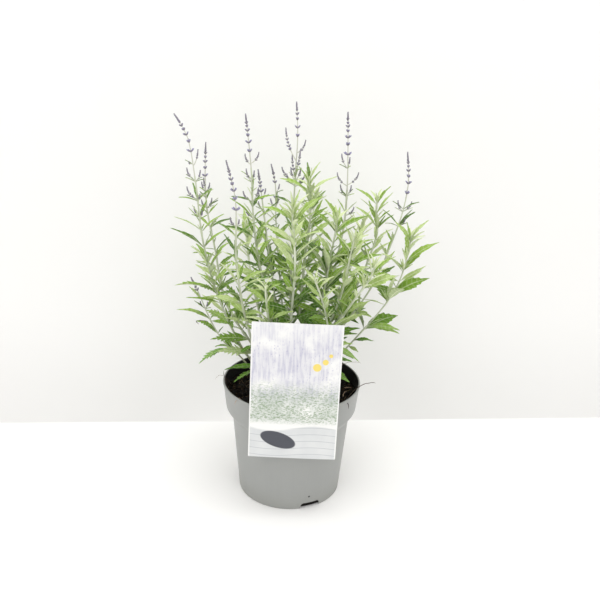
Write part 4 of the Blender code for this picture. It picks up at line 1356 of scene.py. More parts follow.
# Leaves placed one by one: the height of the root, the tip, and the kind of blade.
PLACED_LEAVES = {
    "01": [(284, -126, -20, 303, "narrow"), (332, -116, -25, 336, "narrow"), (310, -107, -22, 325, "narrow"),
        (333, -84, -15, 343, "narrow"), (285, -72, -15, 301, "toothed"), (262, -103, -30, 290, "lobed"),
        (236, -121, -20, 250, "toothed"), (260, -72, -30, 286, "toothed")],
    "02": [(295, -66, 5, 308, "narrow"), (315, -80, 10, 328, "narrow")],
    "03": [(186, -85, -40, 191, "lobed"), (199, -69, -44, 220, "toothed"), (151, -73, -20, 148, "narrow"),
        (147, -62, -32, 141, "toothed"), (231, -72, -45, 256, "toothed"), (254, -26, -62, 275, "toothed")],
    "04": [(293, -70, -35, 311, "toothed"), (332, -65, -18, 336, "narrow"), (332, -21, -18, 339, "narrow")],
    "09": [(324, 96, 0, 332, "narrow"), (324, 122, 0, 335, "narrow"), (306, 118, 0, 324, "narrow"),
        (306, 90, 0, 310, "narrow")],
    "10": [(322, 25, -60, 350, "toothed"), (323, -33, -60, 339, "toothed"), (300, -32, -55, 318, "toothed"),
        (300, 25, -65, 318, "toothed"), (252, 26, -75, 262, "lobed"), (240, -28, -72, 262, "lobed")],
    "11": [(339, 40, -5, 357, "toothed"), (337, -17, -10, 356, "toothed")],
    "12": [(320, 27, -30, 340, "narrow"), (303, 73, -35, 327, "toothed"), (265, 79, -45, 300, "lobed"),
        (258, 6, -40, 304, "lobed"), (262, 27, -48, 297, "toothed")],
    "13": [(323, 59, 15, 341, "toothed"), (323, 95, 15, 345, "narrow"), (313, 100, 25, 336, "narrow"),
        (298, 61, 10, 324, "toothed"), (297, 102, 22, 313, "toothed"), (283, 102, 18, 299, "toothed")],
    "14": [(271, 146, -12, 294, "toothed"), (234, 139, -14, 256, "lobed"), (296, 134, -5, 316, "narrow"),
        (286, 131, 0, 296, "narrow"), (292, 111, -14, 315, "narrow"), (229, 101, -22, 262, "lobed"),
        (197, 112, -18, 199, "toothed"), (180, 84, -18, 186, "toothed")],
    "15": [(293, 48, -42, 317, "narrow"), (296, 72, -30, 318, "narrow"), (186, 71, -14, 200, "toothed")],
    "16": [(270, 69, -58, 300, "toothed"), (270, 97, -55, 292, "toothed"), (168, 65, -20, 163, "narrow")],
    "17": [(190, 69, -28, 176, "toothed")],
    "18": [(202, -122, -15, 216, "toothed"), (170, -99, -30, 160, "lobed"),
        (190, -100, -22, 205, "toothed")],
}

# Smaller leaves placed one by one: the height of the root, the tip, the kind of blade and how young.
DETAIL_LEAVES = {
    "01": [(284, -70, -24, 305, "thread", 0.05), (264, -104, -24, 287, "toothed", 0.35),
        (262, -99, -23, 269, "thread", 0.1), (262, -74, -24, 282, "narrow", 0.3),
        (238, -92, -21, 258, "narrow", 0.3), (236, -96, -25, 255, "thread", 0.15),
        (238, -69, -23, 249, "thread", 0.0), (240, -78, -25, 263, "thread", 0.2),
        (333, -81, -29, 346, "narrow", 0.25), (352, -108, -25, 359, "thread", 0.0),
        (352, -92, -25, 357, "thread", 0.05)],
    "02": [(270, -68, 6, 288, "narrow", 0.05), (272, -94, 8, 274, "thread", 0.1),
        (316, -101, 11, 320, "thread", 0.0), (316, -80, 11, 325, "thread", 0.0),
        (252, -65, 4, 262, "toothed", 0.4), (234, -70, 4, 259, "toothed", 0.5)],
    "03": [(251, -72, -49, 279, "lobed", 0.6), (284, -67, -51, 289, "thread", 0.1),
        (250, -24, -53, 265, "narrow", 0.7), (294, -42, -53, 301, "narrow", 0.3),
        (231, -68, -42, 246, "toothed", 0.3), (228, -38, -49, 249, "toothed", 0.4),
        (180, -56, -32, 172, "broad", 0.35)],
    "04": [(354, -55, -20, 363, "thread", 0.1), (336, -48, -27, 349, "thread", 0.5),
        (294, -20, -21, 320, "narrow", 0.35), (293, -74, -21, 307, "toothed", 0.35),
        (316, -32, -22, 325, "narrow", 0.3), (316, -52, -24, 332, "narrow", 0.6),
        (311, -56, -23, 321, "narrow", 0.55), (267, -55, -17, 288, "narrow", 0.2),
        (262, -15, -16, 285, "narrow", 0.2), (260, -46, 2, 283, "slender", 0.55)],
    "05": [(272, -16, 19, 284, "narrow", 0.0), (256, -52, 20, 274, "slender", 0.1),
        (284, -36, 21, 301, "narrow", 0.2), (296, -18, 22, 310, "thread", 0.1),
        (248, -46, 33, 260, "broad", 0.1), (214, -54, 27, 222, "broad", 0.15)],
    "06": [(276, -7, 37, 294, "narrow", 0.1), (280, -30, 38, 296, "thread", 0.1),
        (295, -34, 39, 307, "thread", 0.1)],
    "07": [(250, -29, 26, 266, "broad", -0.1), (282, -32, 24, 296, "broad", 0.45),
        (267, -17, 26, 279, "slender", -0.1), (220, -20, 29, 233, "broad", 0.1)],
    "10": [(213, -31, -4, 222, "broad", -0.05)],
    "11": [(351, 22, 2, 370, "narrow", 0.5), (351, 9, 2, 369, "narrow", 0.4),
        (352, 14, -5, 365, "narrow", 0.3), (347, 1, 3, 365, "thread", 0.4), (347, 23, 5, 360, "thread", 0.4),
        (330, 27, -8, 339, "narrow", 0.4), (302, 34, -3, 321, "narrow", 0.1),
        (288, -2, -1, 308, "narrow", 0.1), (264, 5, 19, 280, "slender", 0.0)],
    "12": [(262, 78, -33, 298, "narrow", -0.15), (258, 27, -14, 286, "broad", -0.1),
        (277, 7, -39, 301, "narrow", -0.1), (306, 18, -31, 327, "slender", 0.15),
        (272, 49, -31, 293, "narrow", 0.1), (240, 57, -30, 276, "slender", 0.1),
        (208, 9, 4, 217, "broad", -0.05)],
    "14": [(198, 113, -12, 193, "narrow", 0.5), (198, 93, -12, 210, "thread", 0.2),
        (180, 87, -9, 183, "broad", 0.15), (173, 70, -14, 171, "broad", 0.8),
        (164, 65, -17, 164, "slender", 0.5)],
    "16": [(253, 100, -52, 271, "broad", 0.0)],
    "18": [(224, -109, -15, 240, "toothed", 0.3), (226, -77, -16, 226, "narrow", 0.35),
        (202, -79, -16, 216, "thread", -0.1), (200, -61, -18, 199, "narrow", 0.3),
        (186, -73, -15, 196, "toothed", 0.2), (186, -94, -14, 199, "toothed", 0.2)],
}

# Short side spikelets in the upper leaf axils: the height of the root, and the tip.
SIDE_SPIKELETS = {
    "01": [(369, -105, -25, 371), (352, -107, -25, 365), (352, -94, -25, 363), (334, -107, -27, 347),
        (316, -101, -22, 326), (314, -93, -22, 323), (333, -94, -30, 341)],
    "02": [(333, -95, 11, 348), (333, -98, 18, 342), (333, -89, 10, 343), (316, -87, 12, 327),
        (316, -98, 15, 324)],
    "03": [(317, -62, -62, 327), (317, -54, -58, 324)],
    "04": [(352, -50, -21, 365), (353, -42, -24, 364), (332, -53, -18, 342), (332, -38, -18, 346),
        (315, -50, -13, 322)],
    "05": [(324, -41, 30, 333), (324, -33, 31, 334), (312, -40, 27, 321)],
    "06": [(327, -19, 45, 336), (312, -28, 45, 320), (312, -20, 45, 321)],
    "07": [(352, -6, 12, 374), (358, 2, 5, 380), (347, -16, 12, 361), (348, -7, 7, 362), (343, -11, 14, 354),
        (348, 3, 6, 362), (345, 7, 9, 354), (342, 5, 14, 350)],
    "08": [(361, 44, 18, 375), (362, 52, 11, 373), (332, 44, 15, 344), (333, 55, 13, 344),
        (312, 59, 15, 321)],
    "09": [(322, 102, 0, 333), (322, 116, 1, 332), (306, 111, 2, 314)],
    "18": [(214, -90, -12, 222), (214, -98, -8, 221)],
}


class Space:
    """Cells round the plant that remember what fills them."""

    def __init__(self, cell: float, low: Point, counts: tuple[int, int, int]) -> None:
        """Start with empty cells of a size, from a lowest corner."""
        self.cell = cell
        self.low = np.array(low)
        self.counts = np.array(counts)
        self.held = np.zeros(counts, dtype=np.int16)
        self.blades = np.zeros(counts, dtype=np.int16)
        self.blade_count = 0

    def places(self, points: Array) -> Array:
        """Cell numbers of points."""
        cells = np.floor((points - self.low) / self.cell).astype(int)
        return np.clip(cells, 1, self.counts - 2)

    def fill(self, points: Array, owner: int) -> None:
        """Give the cells of these points, and the cells next to them, to an owner.

        Args:
            points: Points of the owner.
            owner: Its number. A cell that two owners want gets -1.
        """
        near = np.array(list(product((-1, 0, 1), repeat=3)))
        places = np.unique((self.places(points)[:, None, :] + near[None]).reshape(-1, 3), axis=0)
        index = tuple(places.T)
        held = self.held[index]
        self.held[index] = np.where((held == 0) | (held == owner), owner, -1)

    def fill_blade(self, points: Array) -> None:
        """Remember the cells of one blade."""
        self.blade_count += 1
        self.blades[tuple(self.places(points).T)] = self.blade_count

    def clear_of_blades(self, points: Array) -> bool:
        """Whether points lie in cells that no blade fills."""
        return not np.any(self.blades[tuple(self.places(points).T)])

    def clear_of_others(self, points: Array, owner: int) -> bool:
        """Whether points lie in cells that nothing else holds."""
        held = self.held[tuple(self.places(points).T)]
        return not np.any((held != 0) & (held != owner))


def leaf_facing(way: Array, roll: float) -> Array:
    """Upper face of a leaf: up, a little to the front and in towards the stem, then rolled.

    Args:
        way: The way that the leaf points.
        roll: Its roll in radians.

    Returns:
        The way that its upper face looks.
    """
    facing = np.array((0.0, -0.45, 1.0)) - 0.5 * np.array((way[0], way[1], 0.0))
    facing = unit(facing - way * np.dot(facing, way))
    return facing * math.cos(roll) + np.cross(way, facing) * math.sin(roll)


def drooping(root: Array, turn: float, lift: float, droop: float, length: float) -> Array:
    """Control points of a leaf: two steps of half its length, the second lower by its droop.

    Args:
        root: Its place on the stem.
        turn: Compass turn in degrees.
        lift: Rise in degrees.
        droop: How many degrees it bends down.
        length: Its length.

    Returns:
        The three points.
    """
    curve = [root]
    for rise in (lift, lift - droop):
        angle = math.radians(rise)
        step = compass(math.radians(turn)) * math.cos(angle) + np.array((0.0, 0.0, math.sin(angle)))
        curve.append(curve[-1] + step * length / 2)
    return np.array(curve)


@dataclass
class LeafPlan:
    """Where every leaf grows: first as in the solids, then the smaller leaves between them.

    The cells in space keep the number of what fills them: a stem's own, its flower spike's,
    which is higher by spike_owners, or label_owner. The cells in fine are for smaller leaves.
    A listed leaf tries each arch with each depth.
    """

    card: PictureCard
    stake: CardStake
    ground: float = 116.0
    node_spacing: float = 37.0
    tuft_leaves: int = 4
    label_owner: int = 99
    spike_owners: int = 100
    arches: tuple[float, ...] = (0.12, 0.2, 0.04, 0.28)
    depths: tuple[float, ...] = (0.0, -7.0, 7.0, -14.0, 14.0, -21.0, 21.0, -28.0, 28.0)
    space: Space = field(default_factory=lambda: Space(2.0, (-190.0, -160.0, 90.0), (190, 160, 180)))
    fine: Space = field(default_factory=lambda: Space(1.5, (-160.0, -115.0, 100.0), (220, 165, 235)))

    def keep_label_free(self) -> None:
        """Keep the leaves off the card and the stake."""
        across, up = np.meshgrid(np.arange(-45.0, 46.0, 1.5), np.arange(-75.0, 76.0, 1.5))
        x, z = self.card.centre
        card = np.column_stack([across.ravel() + x, np.full(across.size, self.card.back), up.ravel() + z])
        self.space.fill(card, self.label_owner)
        stake = walk(np.array([(self.stake.x, y, z) for y, z in self.stake.route]), 1.5)
        for shift in np.linspace(-4.5, 4.5, 7):
            self.space.fill(stake + np.array((shift, 0.0, 0.0)), self.label_owner)

    def keep_stems_free(self) -> None:
        """Keep the leaves of each stem off the other stems and off every flower spike."""
        for stem in STEMS.values():
            for spread, angle in product((0.0, 1.5), (0.0, 2.1, 4.2)):
                self.space.fill(walk(stem.knots(), 1.2) + compass(angle) * spread, stem.number())
            if stem.leafy():
                continue
            foot = stem.straight(stem.bloom_from)
            rest = stem.knots()[stem.knots()[:, 2] > stem.bloom_from + 2.0]
            lines = [np.vstack([foot + unit(rest[0] - foot) * GAP, rest])]
            lines += [np.array(pair, dtype=float) for pair in SPIKE_BRANCHES.get(stem.name, [])]
            for line, angle in product(lines, np.arange(6) * np.pi / 3):
                self.space.fill(walk(line, 1.5) + compass(angle) * 4.5, self.spike_owners + stem.number())

    def try_leaf(self, stem: Stem, leaf: Leaf) -> bool:
        """Add a leaf if it lies clear of everything that is there already.

        Args:
            stem: Its stem.
            leaf: The leaf.

        Returns:
            Whether it was added.
        """
        cells, t = leaf.cells(1.5, 11)
        if cells[..., 2].min() < self.ground + 5.0:
            return False
        if not (self.space.clear_of_others(cells[:, t > 0.1].reshape(-1, 3), stem.number())
                and self.space.clear_of_blades(cells[:, t > 0.4].reshape(-1, 3))):
            return False
        self.space.fill(cells.reshape(-1, 3), stem.number())
        self.space.fill_blade(cells[:, t > 0.25].reshape(-1, 3))
        stem.leaves.append(leaf)
        return True

    def by_eye(self, stem: Stem, wanted: tuple) -> None:
        """Place one leaf with a chosen tip, moved only in depth or arched to find room.

        Args:
            stem: Its stem.
            wanted: Its row among the leaves placed one by one.
        """
        height, *tip, kind = wanted
        root = stem.straight(height)
        roll = stem.rng.uniform(-0.35, 0.35)
        for arch, depth in product(self.arches, self.depths):
            end = np.array(tip, dtype=float) + np.array((0.0, depth, 0.0))
            chord = end - root
            lift = np.array((0.0, 0.0, 1.0)) - unit(chord) * unit(chord)[2]
            middle = (root + end) / 2 + lift * arch * np.linalg.norm(chord) * 2
            leaf = Leaf(np.array([root, middle, end]), leaf_facing(unit(chord), roll), Blade[kind.upper()])
            if self.try_leaf(stem, leaf):
                return

    def by_rule(self, stem: Stem, root: Array, turn: float, lift: float, length: float,
                blade: Blade) -> None:
        """Place one leaf at a compass turn and rise in degrees, moved a little to find room.

        Args:
            stem: Its stem.
            root: Its place on the stem.
            turn: Compass turn in degrees.
            lift: Rise in degrees.
            length: Its length.
            blade: Its kind.
        """
        roll, droop = stem.rng.uniform(-0.4, 0.4), stem.rng.uniform(35.0, 60.0)
        for share, more_lift, more_turn in product((1.0, 0.82, 0.64), (0.0, 14.0, -14.0, 28.0),
                                                   (0.0, 14.0, -14.0, 28.0, -28.0, 44.0, -44.0)):
            curve = drooping(root, turn + more_turn, lift + more_lift, droop, length * share)
            if self.try_leaf(stem, Leaf(curve, leaf_facing(unit(curve[2] - curve[0]), roll), blade)):
                return

    def large_leaves(self) -> None:
        """Settle the leaves of the solids, by the same draws in the same order."""
        self.keep_label_free()
        self.keep_stems_free()
        for stem in STEMS.values():
            stem.rng = stem.draws(1)
            for wanted in PLACED_LEAVES.get(stem.name, []):
                self.by_eye(stem, wanted)
        for stem in STEMS.values():
            stem.rng = stem.draws(10)
            self.crossed_pairs(stem)

    def crossed_pairs(self, stem: Stem) -> None:
        """Settle a stem's pairs, each a quarter turn from the last, and its tuft."""
        turn, height, top = float(stem.turn), float(stem.leaf_from), float(stem.top())
        while height < top - 8.0:
            share = stem.share(height)
            stem.nodes.append((height, turn))
            for half in (0.0, 180.0):
                length = stem.leaf_length * (1.0 - 0.45 * share ** 2) * stem.rng.uniform(0.82, 1.08)
                lift = 44.0 + 20.0 * share + stem.rng.uniform(-12.0, 12.0)
                kind = Blade.LOBED if length > 46.0 else Blade.TOOTHED if length > 36.0 else Blade.NARROW
                self.by_rule(stem, stem.straight(height + half / 90.0),
                             turn + half + stem.rng.uniform(-15, 15), lift, length, kind)
            turn += 90.0
            height += self.node_spacing * (1.0 - 0.25 * share) * stem.rng.uniform(0.9, 1.1)
        if stem.leafy():
            for number in range(self.tuft_leaves):
                self.by_rule(stem, stem.straight(top - 2.0 - 2.2 * number), turn + 137.5 * number,
                             74.0 - 5.0 * number, 13.0 + 2.6 * number, Blade.TUFT)
            stem.nodes.append((top - 10.0, turn))

    def drawn_blade(self, stem: Stem, leaf: Leaf) -> Blade:
        """Kind in which a large leaf is drawn: cut deep or not, and thin high on a flowering stem.

        Args:
            stem: The stem.
            leaf: The leaf.

        Returns:
            The kind.
        """
        if not stem.leafy() and stem.share(leaf.curve[0, 2]) > 0.5:
            return Blade.THREAD if leaf.length() < 34.0 else Blade.NARROW
        if stem.name in DEEPLY_CUT or leaf.blade in (Blade.NARROW, Blade.TUFT):
            return leaf.blade
        return Blade.BROAD if leaf.blade is Blade.LOBED else Blade.SLENDER

    def youth_at(self, stem: Stem, height: float) -> float:
        """Youth of a leaf by its height: pale and felted near a leafy tip, dark under the flowers."""
        share = float(np.clip(stem.share(height), 0.0, 1.0))
        return 0.08 + stem.young * 0.85 * share ** 1.4 if stem.leafy() else 0.32 - 0.36 * share

    def grow(self, stem: Stem, height: float, turn: float, lift: float, length: float, blade: Blade,
             loose: float = 0.3) -> None:
        """Grow one smaller leaf where it finds room among the rest.

        Args:
            stem: The stem that it grows from.
            height: Height of its root.
            turn: Compass turn in degrees.
            lift: Rise in degrees.
            length: Its length.
            blade: Its kind.
            loose: Share of its length, from the root, that may touch other leaves.
        """
        roll, droop = stem.rng.uniform(-0.5, 0.5), stem.rng.uniform(-8.0, 22.0)
        root = stem.smooth(height)[0]
        for share, more_lift, more_turn in product((1.0, 0.78), (0.0, 13.0, -13.0),
                                                   (0.0, 20.0, -20.0, 40.0, -40.0)):
            curve = drooping(root, turn + more_turn, lift + more_lift, droop, length * share)
            leaf = Leaf(curve, leaf_facing(unit(curve[2] - curve[0]), roll), blade,
                        self.youth_at(stem, height) + stem.rng.uniform(-0.08, 0.12))
            cells, t = leaf.cells(1.2, 7)
            outer = cells[:, t > loose].reshape(-1, 3)
            if cells[..., 2].min() >= self.ground + 3.0 and self.fine.clear_of_blades(outer):
                self.fine.fill_blade(outer)
                stem.leaves.append(leaf)
                return

    def pair(self, stem: Stem, height: float, turn: float, lift: float, length: float, blade: Blade,
             loose: float = 0.3) -> None:
        """Grow two opposite leaves, each a little different, with what grow takes."""
        for half in (0.0, 180.0):
            self.grow(stem, height, turn + half + stem.rng.uniform(-14, 14), lift + stem.rng.uniform(-8, 8),
                      length * stem.rng.uniform(0.85, 1.12), blade, loose)

    def detail(self, stem: Stem, wanted: tuple) -> None:
        """Grow one smaller leaf to a chosen tip, arched a little.

        Args:
            stem: Its stem.
            wanted: Its row among the smaller leaves placed one by one.
        """
        height, *tip, kind, youth = wanted
        root, end = stem.smooth(height)[0], np.array(tip, dtype=float)
        middle = (root + end) / 2 + np.array((0.0, 0.0, 0.1)) * np.linalg.norm(end - root)
        facing = leaf_facing(unit(end - root), stem.rng.uniform(-0.4, 0.4))
        leaf = Leaf(np.array([root, middle, end]), facing, Blade[kind.upper()], youth)
        cells, t = leaf.cells(1.2, 7)
        self.fine.fill_blade(cells[:, t > 0.3].reshape(-1, 3))
        stem.leaves.append(leaf)

    def mark_fine(self) -> None:
        """Move the large leaves' roots to the smooth stems, and mark all that the finer cells hold."""
        for stem in STEMS.values():
            for leaf in stem.leaves:
                leaf.curve[0] = stem.smooth(leaf.curve[0, 2])[0]
                leaf.curve[1] = leaf.curve[1] * 0.55 + (leaf.curve[0] + leaf.curve[2]) * 0.225
                leaf.youth = 1.0 if leaf.blade is Blade.TUFT else self.youth_at(stem, leaf.curve[0, 2])
                leaf.blade = self.drawn_blade(stem, leaf)
                cells, t = leaf.cells(1.0, 13)
                self.fine.fill_blade(cells[:, t > 0.2].reshape(-1, 3))
            line = stem.smooth(np.arange(110.0, stem.route[-1][2], 0.8))
            for angle in np.arange(6) * np.pi / 3:
                self.fine.fill_blade(line + compass(angle) * 1.4)
        across, up = np.meshgrid(np.arange(-44.0, 52.0, 1.0), np.arange(76.0, 229.0, 1.0))
        card = np.column_stack([across.ravel(), np.full(across.size, -76.0), up.ravel()])
        for depth in (-2.0, -0.5, 1.0):
            self.fine.fill_blade(card + np.array((0.0, depth, 0.0)))

    def small_leaves(self) -> None:
        """Grow pairs between the nodes, small leaves in the axils, and fuller tips and feet."""
        self.mark_fine()
        for stem in STEMS.values():
            stem.rng = stem.draws(100)
            bare = stem.name in BARE_FOOT
            for wanted in DETAIL_LEAVES.get(stem.name, []):
                self.detail(stem, wanted)
            self.fill_tip(stem)
            for height in () if bare else np.arange(136.0, stem.leaf_from - 8.0, 15.0):
                self.pair(stem, height, stem.turn + 6.0 * height, 42.0, 25.0, Blade.SLENDER)
            for node, (after, _) in zip(stem.nodes, stem.nodes[1:] + [(stem.top(), 0.0)]):
                if not bare or stem.share(node[0]) >= 0.05:
                    self.fill_node(stem, node, after)

    def fill_tip(self, stem: Stem) -> None:
        """Fill a leafy tip with narrow young leaves, and put one under each side spikelet."""
        if stem.leafy():
            for number, below in enumerate((2.0, 5.0, 9.0, 14.0) if stem.dense() else (3.0, 7.0)):
                self.pair(stem, stem.top() - below, stem.turn + 90.0 * number, 78.0 - 9.0 * number,
                          8.0 + 4.4 * number, Blade.TUFT, 0.45)
        for height, *tip in SIDE_SPIKELETS.get(stem.name, []):
            x, y, _ = np.array(tip) - stem.smooth(height)[0]
            if math.hypot(x, y) > 2.5:
                self.grow(stem, height - 0.5, math.degrees(math.atan2(y, x)), 30.0,
                          7.0 + 0.5 * math.hypot(x, y), Blade.THREAD, 0.5)

    def fill_node(self, stem: Stem, node: tuple[float, float], after: float) -> None:
        """Grow the small leaves of one node and of the stretch up to the next.

        Args:
            stem: The stem.
            node: The node's height and turn.
            after: Height of the next node.
        """
        height, turn = node
        share, halfway = stem.share(height), (height + after) / 2
        if not stem.leafy() and share > 0.45:
            self.pair(stem, height + 1.5, turn, 64.0, 9.0, Blade.SHOOT, 0.4)
            if share < 0.75:
                self.pair(stem, halfway, turn + 50.0, 50.0, stem.leaf_length * 0.45, Blade.NARROW)
            return
        if stem.leafy() and not stem.dense() and share > 0.88:
            return
        length = stem.leaf_length * (0.84 - 0.36 * share)
        blade = Blade.NARROW if length < 34.0 else Blade.SLENDER
        for between in (0.36, 0.70):
            self.pair(stem, height + (after - height) * between, turn + 100.0 * between,
                      16.0 + 46.0 * share, length, blade)
        for offset in (-34.0, 0.0, 30.0):
            self.pair(stem, height + 1.5, turn + offset, 62.0, 17.0 - abs(offset) * 0.1, Blade.SHOOT, 0.35)
        self.pair(stem, halfway, turn + 45.0, 62.0, 14.0, Blade.SHOOT, 0.35)


# -------- leafy stems and flower spikes

@dataclass
class LeafyStem:
    """One stem below its flowers: a grooved square tube with swollen nodes, and all its leaves."""

    stem: Stem
    foot_radius: float = 1.75
    top_radius: float = 0.9
    rise: float = 4.0
    foot: float = 104.0
    sides: int = 8

    def tube(self, draft: Draft, rng: Draws) -> None:
        """The stem's tube. Its size falls evenly with height and swells round each node.

        Args:
            draft: The draft that takes it.
            rng: Source of the draws.
        """
        low, top = self.foot, self.stem.top()
        heights = np.linspace(low, top, int((top - low) / self.rise))
        line = self.stem.smooth(heights)
        share = (heights - low) / (top - low)
        size = self.foot_radius + (self.top_radius - self.foot_radius) * share
        size = size * THICKNESS.get(self.stem.name, 1.0)
        nodes = np.array([height for height, _ in self.stem.nodes])
        swell = np.exp(-((heights[:, None] - nodes[None]) / 2.2) ** 2).sum(axis=1)
        size = size * (1.0 + 0.32 * np.clip(swell, 0.0, 1.0))
        path = np.vstack([line[:1], line, line[-1:]])
        sizes = np.repeat(np.concatenate([size[:1], size, size[-1:]])[None, :, None], 2, axis=2)
        across = compass(math.radians(self.stem.turn + 45.0))[None]
        pale = max(self.stem.young, 0.4) + 0.1 * share
        youth = np.concatenate([pale[:1], np.repeat(pale, self.sides), pale[-1:]])
        draft.add(skins(path[None], sizes, ring_section(self.sides, 0.2), across),
                  skin_faces(len(line), self.sides), toned((1, len(youth)), youth, 1.0, rng.uniform(), 0.0))

    def blades(self, draft: Draft, leaves: list[Leaf], form: BladeForm, rng: Draws) -> None:
        """Draw all leaves of one kind as whole arrays.

        At a place t along the midrib the half width is the length times half the breadth times
        sin(pi t^0.85)^1.5, times the share that the station keeps, and never less than the leaf
        stalk's. The edges rise by the fold and a wave, sweep forward at the teeth, and turn with
        the blade's twist. The midrib curls down by t^3. Below it runs a keel.

        Args:
            draft: The draft that takes them.
            leaves: The leaves.
            form: Their kind's form.
            rng: Source of the draws.
        """
        if not leaves:
            return
        count = len(leaves)
        t, kept, sweep = form.stations()
        curve = np.stack([leaf.curve for leaf in leaves])
        facing = np.stack([leaf.facing for leaf in leaves])
        length = np.array([leaf.length() for leaf in leaves])[:, None, None]
        s = t[None, :, None]
        ends = arc(curve, np.array((0.0, 1.0)))
        first, second = curve[:, 1] - curve[:, 0], curve[:, 2] - curve[:, 1]
        ways = unit(first[:, None] * (1 - s) + second[:, None] * s)
        sides = unit(np.cross(ways, facing[:, None]))
        ups = np.cross(sides, ways)
        twist = rng.uniform(-0.5, 0.5, (count, 1, 1)) * s
        sides, ups = sides * np.cos(twist) + ups * np.sin(twist), ups * np.cos(twist) - sides * np.sin(twist)
        curl = rng.uniform(-0.07, 0.04, (count, 1, 1)) * length
        middle = arc(curve, t) + ups * curl * s ** 3
        ends[:, 1] += ups[:, -1] * curl[:, 0]
        stalk = 0.45 + 0.012 * length
        swell = length * form.breadth / 2 * rng.uniform(0.88, 1.1, (count, 1, 1))
        half = np.maximum(swell * np.sin(np.pi * s ** 0.85) ** 1.5, stalk)
        half[:, 0] = stalk[:, 0]
        edges = []
        for sign in (1.0, -1.0):
            keep = kept[None, :, None] * (1.0 + rng.uniform(-0.10, 0.10, (count, len(t), 1)))
            wave = np.sin(2 * np.pi * (1.6 * s + rng.uniform(0.0, 1.0, (count, 1, 1)))) * 0.10
            edges.append(middle + sides * sign * half * keep + ways * half * sweep[None, :, None]
                         + ups * half * (form.fold + wave))
        keel = middle - ups * (0.28 + 0.006 * length + 0.03 * half)
        if form.corners == 6:
            belly = [middle + sides * sign * half * 0.46 + ups * half * (form.fold * 0.46 + 0.13)
                     + ways * half * 0.2 for sign in (1.0, -1.0)]
            ring = [middle, belly[0], edges[0], keel, edges[1], belly[1]]
            across, under = (0.5, 0.75, 1.0, 0.5, 0.0, 0.25), (0.0, 0.0, 0.5, 1.0, 0.5, 0.0)
        else:
            ring = [middle, edges[0], keel, edges[1]]
            across, under = (0.5, 1.0, 0.5, 0.0), (0.0, 0.5, 1.0, 0.5)
        rings = np.stack(ring, axis=2).reshape(count, -1, 3)
        points = np.concatenate([ends[:, :1], rings, ends[:, 1:]], axis=1)
        steps, corners = len(t), form.corners
        place = np.stack([np.concatenate([[0.5], np.tile(across, steps), [0.5]]),
                          np.concatenate([[0.0], np.repeat(t, corners), [1.0]])], axis=1)
        below = np.concatenate([[0.5], np.tile(under, steps), [0.5]])
        stalky = np.concatenate([[0.9], np.full(corners, 0.6), np.zeros((steps - 1) * corners), [0.0]])
        # Painted light: leaves that stand out of the shrub at middle height are made paler through their
        # youth.
        youth = np.array([leaf.youth for leaf in leaves]) + 0.3 * self.outer(curve[:, 2])
        tone = toned(points.shape[:2], youth[:, None], stalky, rng.uniform(0.0, 1.0, (count, 1)), below)
        draft.add(points, skin_faces(steps, corners), tone, place[None])

    def outer(self, tips: Array) -> Array:
        """How far leaves stand out of the shrub at middle height, where light makes them paler.

        Args:
            tips: Their tips (count, 3).

        Returns:
            0 to 1 for each.
        """
        x, y, z = tips.T
        out = np.clip((np.hypot(x, y) - 45.0) / 45.0, 0.0, 1.0)
        return out * np.clip((315.0 - z) / 40.0, 0.0, 1.0) * np.clip((z - 150.0) / 60.0, 0.0, 1.0)

    def build(self, material: Material) -> int:
        """Make the stem's piece.

        Args:
            material: The skin's finish.

        Returns:
            Number of its leaves.
        """
        rng, name = self.stem.draws(1000), self.stem.name
        draft = Draft("sage_stem_" + name)
        self.tube(draft, rng)
        for blade in Blade:
            self.blades(draft, [leaf for leaf in self.stem.leaves if leaf.blade is blade], blade.value, rng)
        settle(draft.piece(material), "foliage", "leafy_stem_" + name)
        return len(self.stem.leaves)


class Bud(NamedTuple):
    """One bud: its root on the stalk's line, the way out from it, the stalk's way, its rise in
    degrees, its length and width, and how far it has coloured, from 0 to 1."""

    root: Array
    out: Array
    way: Array
    lift: float
    length: float
    width: float
    bloom: float


class BudForm(NamedTuple):
    """Form of a kind of bud: places along it, shares of half its width there, and its sides."""

    share: tuple[float, ...]
    belly: tuple[float, ...]
    sides: int

    def draw(self, draft: Draft, buds: list[Bud], rng: Draws) -> None:
        """Draw buds: each a round skin along a path that leaves outwards and bends up.

        At the share s the path is at the root plus out times length times cos(lift) times
        s^0.9, plus way times length times sin(lift) times s^1.2.

        Args:
            draft: The draft that takes them.
            buds: The buds.
            rng: Source of the draws.
        """
        if not buds:
            return
        root, out, way, lift, length, width, bloom = (np.array(row) for row in zip(*buds))
        s = np.array(self.share)[None, :, None]
        lift, length = np.radians(lift)[:, None, None], length[:, None, None]
        paths = (root[:, None] + out[:, None] * (length * np.cos(lift) * s ** 0.9)
                 + way[:, None] * (length * np.sin(lift) * s ** 1.2))
        sizes = width[:, None, None] / 2 * np.array(self.belly)[None, :, None] * np.ones((1, 1, 2))
        points = skins(paths, sizes, ring_section(self.sides), np.cross(out, way))
        along = np.concatenate([[self.share[0]], np.repeat(self.share[1:-1], self.sides), [self.share[-1]]])
        chance = rng.uniform(0.0, 1.0, (len(buds), 1))
        draft.add(points, skin_faces(len(self.share) - 2, self.sides),
                  toned(points.shape[:2], along, bloom[:, None], chance, 0.0))


LARGE_BUD = BudForm((0.0, 0.12, 0.34, 0.6, 0.84, 1.0), (0.35, 0.65, 0.95, 1.0, 0.82, 0.0), 6)
SMALL_BUD = BudForm((0.0, 0.25, 0.6, 0.88, 1.0), (0.3, 0.75, 1.0, 0.6, 0.0), 5)


